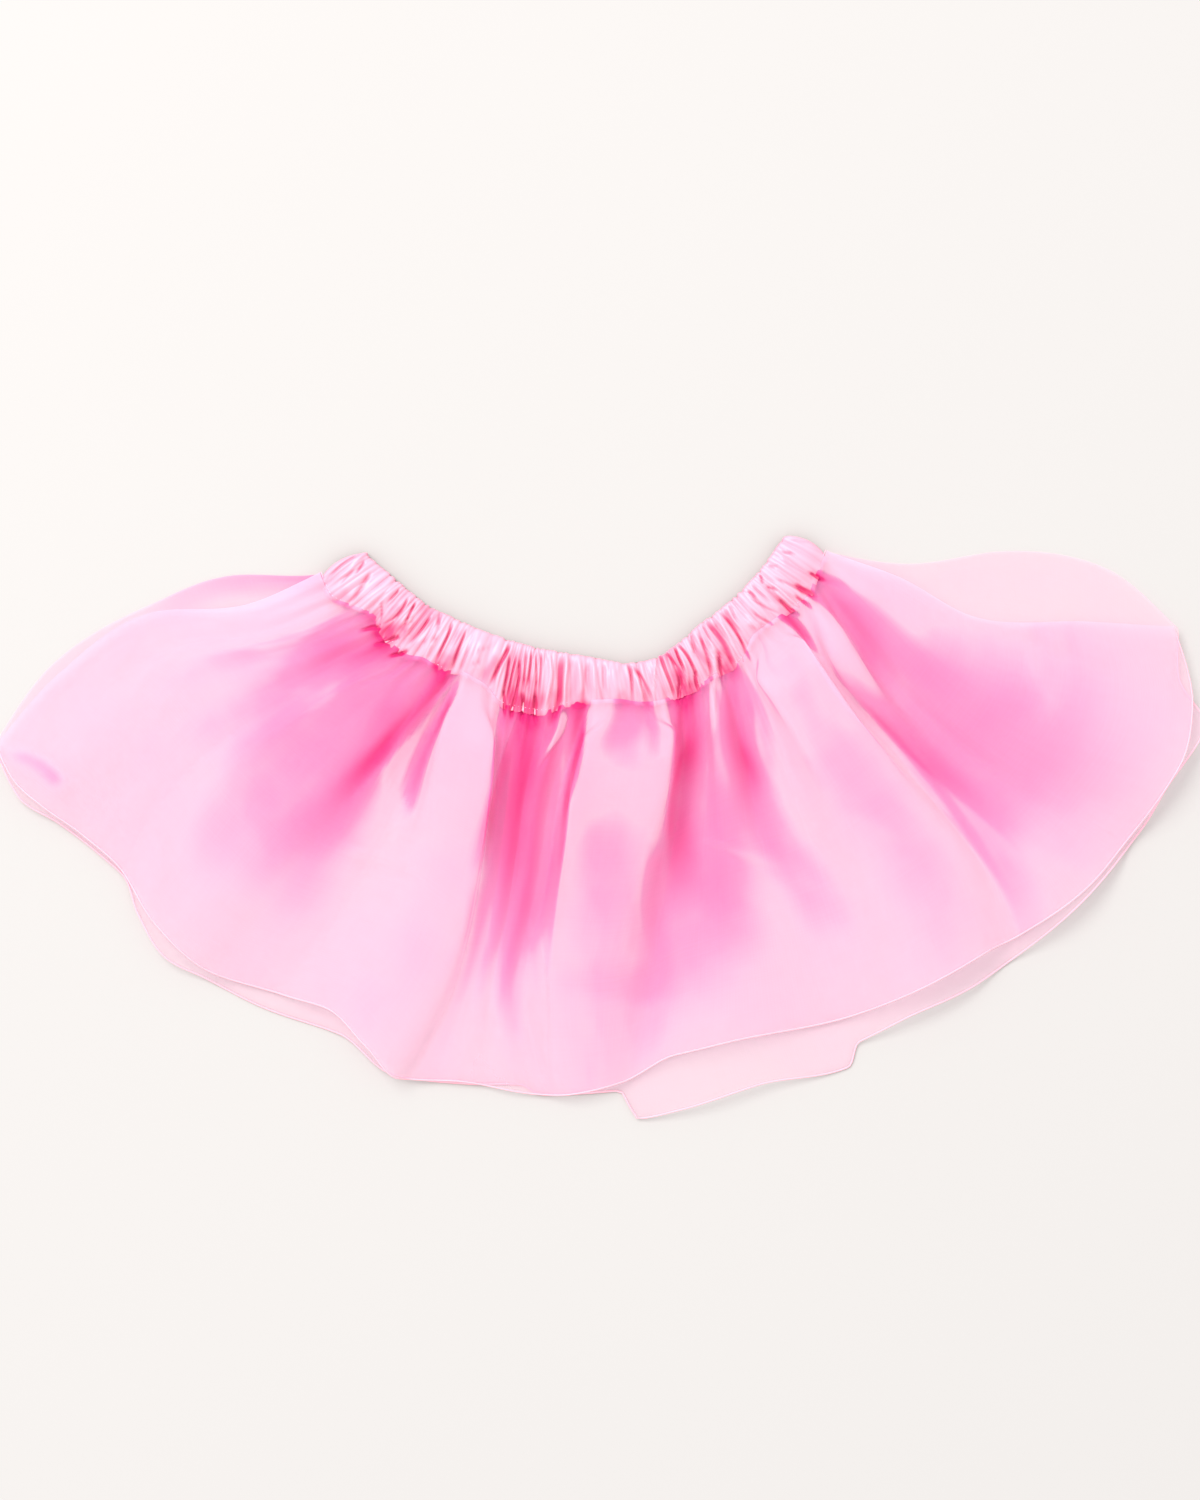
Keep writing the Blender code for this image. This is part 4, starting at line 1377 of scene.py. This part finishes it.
@dataclass
class CasingHalf:
    """Half of the gathered satin casing: a flattened tube drawn up on its elastic."""

    name: str
    node: str
    floor: float
    thickness: float
    gather_depth: float
    crown: float
    inner_spread: float = 0.0
    placed_creases: bool = False
    edge_taper: float = 0.0
    taper_from: float = 0.55
    flat_size: tuple[float, float] = (0.36, 0.024)
    rests_on: str = "back_casing"

    # the grid, and the section's roundness on top and at the sides
    per_gather: int = 18
    around: int = 40
    corner: float = 5.0
    side_power: float = 0.7
    end_columns: float = 9.0
    end_size: float = 0.3

    # the gathers' ridges
    main_power: float = 0.8
    fine_power: float = 0.9
    main_height: float = 0.66
    fine_height: float = 0.34
    least_room: float = 0.5
    under_share: float = 0.6
    crest_share: float = 0.5
    scallop: float = 1.6 * MM
    inner_scallop: float = 0.7
    outer_swell: float = 0.3

    # painted shade: flat over the back half, in the ridges' own valleys and along the lower edge;
    # drift_shade is a random tone over all
    plain_shade: float = 0.1
    fine_shade: float = 0.16
    main_valley_power: float = 2.4
    fine_valley_power: float = 3.0
    fine_valley_share: float = 0.6
    drift_shade: float = 0.05
    rim_shade: float = 0.3
    rim_from: float = 0.9
    shaded_above: float = -0.2

    def ridges(self, phase: np.ndarray, across: np.ndarray) -> tuple[np.ndarray, np.ndarray]:
        """Work out the gathers' form: rounded ridges of uneven width between sharp valleys.

        The phase is warped by slow sines, so widths differ, and sways across the casing, so that
        ridges lean and wander. A second, finer set of ridges is pressed into the first.

        Args:
            phase: Place along the waist, counted in gathers.
            across: Share of the way from the inner to the outer edge.

        Returns:
            The heights of the main and the fine ridges, each from 0 in a valley to 1 on a crest.
        """
        drift = 0.2 * np.sin(1.7 * phase + 0.5) + 0.09 * np.sin(4.1 * phase + 1.1)
        sway = 0.3 * np.sin(2.6 * phase + 1.0) + 0.16 * np.sin(1.3 * phase)
        bend = np.sin(np.pi * across) * 0.1 * np.sin(3.3 * phase)
        main = phase + drift + sway * (across - 0.5) + bend
        fine = 2.3 * phase + 0.3 * np.sin(1.1 * phase) - 1.4 * sway * (across - 0.4)
        ridge, fine_ridge = np.abs(np.sin(np.pi * main)), np.abs(np.sin(np.pi * fine))
        return ridge**self.main_power, fine_ridge**self.fine_power

    def form(self, angle: np.ndarray, phase: np.ndarray, across: np.ndarray) -> CasingForm:
        """Work out the casing's outer surface and its creases.

        Args:
            angle: Fan angles.
            phase: Places counted in gathers.
            across: Shares of the way from the inner to the outer edge.

        Returns:
            The gathers' height share, depth, painted crease shade and placed relief, each over the
            grid.
        """
        main, fine = self.ridges(phase, across)
        pitch = GATHERS.pitch(angle, band_radius(angle, "outer"), phase)
        room = self.least_room + (1.0 - self.least_room) * GATHERS.room(pitch)
        depth = self.gather_depth * room * GATHERS.depth(phase)
        height = self.main_height * main + self.fine_height * fine
        radius = band_radius(angle, "inner")
        radius = radius + (band_radius(angle, "outer") - radius) * across
        # the back half gets a flat painted shade
        placed, shade = 0.0, self.plain_shade
        if self.placed_creases:
            placed, shade = gather_creases(angle, radius)
        # painted shade in the ridges' valleys and along the lower edge, and a random tone
        narrow = self.fine_valley_share * (1.0 - fine) ** self.fine_valley_power
        thin = self.fine_shade * ((1.0 - main) ** self.main_valley_power + narrow)
        tone = self.drift_shade * (1.0 + wander(0.9 * phase + 1.5 * across, 0.4))
        rim = smoothstep((across - self.rim_from) / (1.0 - self.rim_from))
        tone = tone + self.rim_shade * rim
        crease = np.clip(shade + thin + tone, 0.0, 1.0)
        return CasingForm(height, depth, crease, placed)

    def surface(self) -> Sheet:
        """Work out the casing half as a tube round its flattened section.

        Returns:
            The sheet: rows go round the section, columns along the waist. Each section is a
            superellipse. Its upper half's height follows the gathers, and its lower half lies on
            the half's floor and lifts a little under the crests.
        """
        seams, phases = GATHERS.angles(self.per_gather)
        turn = np.linspace(0.0, 2.0 * np.pi, self.around, endpoint=False)
        angle, round_it = np.meshgrid(seams, turn)
        phase = np.broadcast_to(phases, angle.shape)
        side, up = np.cos(round_it), np.sin(round_it)
        side = np.sign(side) * np.abs(side) ** self.side_power
        up = np.sign(up) * np.abs(up) ** (2.0 / self.corner)
        across = 0.5 + 0.5 * side
        form = self.form(angle, phase, across)
        valley = 1.0 - form.height
        notch = self.scallop * valley * (0.6 + 0.4 * np.sin(1.9 * phase))
        inner = band_radius(angle, "inner") - self.inner_spread + self.inner_scallop * notch
        outer = band_radius(angle, "outer") + self.outer_swell * self.scallop - notch
        radius = inner + (outer - inner) * across
        top = self.thickness + self.crown * np.sin(np.pi * across) + form.placed
        top = top + form.depth * (form.height - self.crest_share)
        sloped = smoothstep((across - self.taper_from) / (1.0 - self.taper_from))
        top = top - self.edge_taper * sloped
        half = 0.5 * self.thickness
        under = half * (1.0 + up) + self.under_share * form.depth * form.height * -up
        height = self.floor + np.where(up > 0.0, half + (top - half) * up, under)
        points = FAN.point(angle, radius, height)
        end = from_ends(angle.shape[1]) + self.end_size
        close = np.sqrt(np.clip(end / self.end_columns, 0.0, 1.0))
        middle = points.mean(axis=0)
        points = middle + (points - middle) * close[None, :, None]
        # painted shade on the upper side only
        crease = form.crease * (up > self.shaded_above)
        length = phase * (self.flat_size[0] / GATHERS.count)
        uv = np.stack((length, round_it / (2.0 * np.pi) * self.flat_size[1]), axis=-1)
        return Sheet(self.name, points, uv, {Shade.CREASE: crease}, closed_rows=True)


# ---- sewing -------------------------------------------------------------------------------


@dataclass
class Sewing:
    """The rolled hems and the stitches along the casing's lower edge."""

    hem_half_width: float = 0.34 * MM
    hem_half_height: float = 0.3 * MM
    hem_sides: int = 6
    stitch_pitch: float = 1.9 * MM
    stitch_half: float = 0.17 * MM
    stitch_sides: int = 5
    stitch_points: int = 6
    stitch_inset: float = 2.2 * MM

    # how high a stitch arches, and how deep its ends sink into the cloth, in millimetres
    stitch_rise: float = 0.42
    stitch_sink: float = 0.3

    def rolled_hem(self, name: str, path: np.ndarray) -> Sheet:
        """Return a hem as a thin oval tube on the panel's last row of points."""
        return tube_along(name, path, self.hem_half_width, self.hem_half_height, self.hem_sides)

    def stitches(self, name: str, path: np.ndarray) -> Sheet:
        """Lay short stitches along a path, joined by their sunken ends.

        The path is walked in even steps, and each stitch rises out of the cloth as a bell.

        Args:
            name: The piece's name.
            path: Points on the cloth's surface, (count, 3).

        Returns:
            The row of stitches as one thin tube that dips into the cloth between them.
        """
        length = path_length(path)
        count = int(length[-1] / self.stitch_pitch)
        steps = np.linspace(0.0, length[-1], count * self.stitch_points + 1)
        walked = np.stack([np.interp(steps, length, path[:, k]) for k in range(3)], axis=-1)
        rise = np.sin(np.pi * steps / self.stitch_pitch) ** 2
        walked[:, 2] += (self.stitch_rise * rise - self.stitch_sink) * MM
        return tube_along(name, walked, self.stitch_half, self.stitch_half, self.stitch_sides)


# ---- the studio ---------------------------------------------------------------------------


@dataclass
class Studio:
    """A pale floor, soft light from the upper left and a camera straight above."""

    camera_x: float = 1.15 * MM
    camera_y: float = 30.6 * MM
    camera_height: float = 1.5
    view_height: float = 0.63
    sensor: float = 36.0
    floor_size: float = 7.0
    floor_height: float = -0.2 * MM
    floor_colour: Colour = (0.475, 0.457, 0.445)
    mottle_scale: float = 3.0
    mottle_lightening: float = 1.02
    window_power: float = 125.0
    window_size: float = 2.2
    window_place: tuple[float, float, float] = (-1.5, 1.7, 3.0)
    sky_colour: Colour = (1.0, 1.0, 1.0)
    sky_strength: float = 1.32
    layers_seen_through: int = 32

    def floor(self) -> None:
        """Lay the floor, a little under the cloth, with a faint mottle in its paint."""
        build = NodeBuilder("pale floor")
        mottle = build.noise(build.coordinates("Object"), self.mottle_scale)
        lighter = tuple(part * self.mottle_lightening for part in self.floor_colour)
        colour = build.blend(mottle, self.floor_colour, lighter)
        face = build.add("BsdfDiffuse", {"Color": colour, "Roughness": 0.0})
        half = self.floor_size / 2.0
        line = np.linspace(-half, half, 3)
        x, y = np.meshgrid(line, line[::-1])
        points = np.stack((x, y, np.full_like(x, self.floor_height)), axis=-1)
        sheet = Sheet("studio_floor", points, points[..., :2].copy())
        sheet.build(build.finish(face))

    def lights(self) -> None:
        """Hang one large soft window light at the upper left and fill with an even sky."""
        lamp = bpy.data.lights.new("window_light", "AREA")
        lamp.shape = "DISK"
        lamp.size = self.window_size
        lamp.energy = self.window_power
        window = bpy.data.objects.new("window_light", lamp)
        window.location = self.window_place
        window.rotation_euler = (-window.location).to_track_quat("-Z", "Y").to_euler()
        bpy.context.scene.collection.objects.link(window)
        world = bpy.data.worlds.new("even_sky")
        world.use_nodes = True
        background = world.node_tree.nodes["Background"]
        background.inputs["Color"].default_value = (*self.sky_colour, 1.0)
        background.inputs["Strength"].default_value = self.sky_strength
        bpy.context.scene.world = world

    def camera(self) -> None:
        """Set the camera straight above; its lens covers view_height on the frame's long side."""
        data = bpy.data.cameras.new("camera")
        data.sensor_fit = "AUTO"
        data.sensor_width = self.sensor
        data.lens = self.sensor * self.camera_height / self.view_height
        camera = bpy.data.objects.new("camera", data)
        camera.location = (self.camera_x, self.camera_y, self.camera_height)
        bpy.context.scene.collection.objects.link(camera)
        bpy.context.scene.camera = camera

    def build(self) -> None:
        """Set up the floor, the lights, the camera and plain colour."""
        self.floor()
        self.lights()
        self.camera()
        scene = bpy.context.scene
        scene.view_settings.view_transform = "Standard"
        scene.cycles.transparent_max_bounces = self.layers_seen_through


# ---- the tutu -----------------------------------------------------------------------------


@dataclass
class Tutu:
    """The whole garment: two panels, two casing halves and their sewing.

    seam_points is how many points each gather gives the line of stitches, and seam_slope is how
    far that line has come down the casing's sloped edge, as a share.
    """

    organza: OrganzaFinish = OrganzaFinish()
    satin: SatinFinish = SatinFinish()
    hem_thread: ThreadFinish = ThreadFinish("peach hem thread", (0.89, 0.40, 0.48))
    seam_thread: ThreadFinish = ThreadFinish("pink seam thread", (0.90, 0.44, 0.58))
    sewing: Sewing = field(default_factory=Sewing)
    front_floor: float = 2.9 * MM
    seam_points: int = 24
    seam_slope: float = 0.9

    def panels(self) -> tuple[SkirtPanel, SkirtPanel]:
        """Set out both panels.

        Returns:
            The back panel, which lies on the ground, and the front panel, which lies on it in
            soft flutes.
        """
        back = SkirtPanel(
            name="back_organza",
            node="skirt_back",
            grain=BACK_GRAIN,
            hem=BACK_HEM,
            folds=BACK_FOLDS,
            marks=(),
            seam_height=0.0,
            lie_height=0.0,
            gather_depth=1.0 * MM,
            gathers_end=0.35,
            rests_on="studio_floor",
            per_gather=8,
            rows=90,
            line_strength=0.8,
            crease_run=0.0,
            # painted light on the back panel's thin cloth
            painted_light_strength=0.33,
        )
        front = SkirtPanel(
            name="front_organza",
            node="skirt_front",
            grain=FRONT_GRAIN,
            hem=FRONT_HEM,
            folds=FRONT_FOLDS,
            marks=FRONT_MARKS,
            seam_height=3.9 * MM,
            lie_height=1.5 * MM,
            gather_depth=1.4 * MM,
            gathers_end=0.22,
        )
        return back, front

    def halves(self) -> tuple[CasingHalf, CasingHalf]:
        """Set out both halves of the casing.

        Returns:
            The back half, which lies on the ground, and the front half, which lies on it.
        """
        back = CasingHalf(
            name="back_casing",
            node="waistband_back",
            floor=0.0,
            thickness=self.front_floor,
            gather_depth=3.4 * MM,
            crown=0.0,
            inner_spread=0.3 * MM,
            crest_share=0.9,
            rests_on="studio_floor",
        )
        front = CasingHalf(
            name="front_casing",
            node="waistband_front",
            floor=self.front_floor,
            thickness=3.2 * MM,
            gather_depth=1.7 * MM,
            crown=1.0 * MM,
            placed_creases=True,
            edge_taper=1.3 * MM,
            around=56,
        )
        return back, front

    def build(self) -> None:
        """Build and dress every piece, from the ground up, and attach each to the tutu's body."""
        organza, satin = self.organza.make(), self.satin.make()
        hem_thread, seam_thread = self.hem_thread.make(), self.seam_thread.make()
        for panel in self.panels():
            self.dress_panel(panel, organza, hem_thread)
        back, front = self.halves()
        for half in (back, front):
            self.dress_half(half, satin)
        self.sew(front, seam_thread)

    def dress_panel(
        self, panel: SkirtPanel, organza: bpy.types.Material, thread: bpy.types.Material
    ) -> None:
        """Build a panel with its rolled hem.

        Args:
            panel: The panel.
            organza: Its finish.
            thread: Its hem's finish.
        """
        sheet, hem_path = panel.surface()
        cloth = settle(sheet.build(organza), "pink organza", panel.node)
        hem = self.sewing.rolled_hem(f"{panel.name}_hem", hem_path)
        hem_piece = settle(hem.build(thread), "pink organza")

    def dress_half(self, half: CasingHalf, satin: bpy.types.Material) -> None:
        """Build a half of the casing in its finish."""
        casing = settle(half.surface().build(satin), "pink satin", half.node)

    def sew(self, half: CasingHalf, thread: bpy.types.Material) -> None:
        """Stitch the casing's lower edge to the front panel.

        Args:
            half: The casing's front half.
            thread: The stitches' finish.
        """
        seams, phases = GATHERS.angles(self.seam_points)
        inner, edge = band_radius(seams, "inner"), band_radius(seams, "outer")
        outer = edge - self.sewing.stitch_inset
        form = half.form(seams, phases, (outer - inner) / (edge - inner))
        height = half.floor + half.thickness + form.depth * (form.height - half.crest_share)
        height = height + form.placed - self.seam_slope * half.edge_taper
        row = self.sewing.stitches("casing_stitches", FAN.point(seams, outer, height))
        settle(row.build(thread), "pink satin")


def main() -> None:
    """Build the studio and the tutu."""
    logging.basicConfig(level=logging.INFO, format="%(name)s %(message)s")
    Studio().build()
    Tutu().build()
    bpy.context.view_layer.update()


if __name__ == "__main__":
    main()
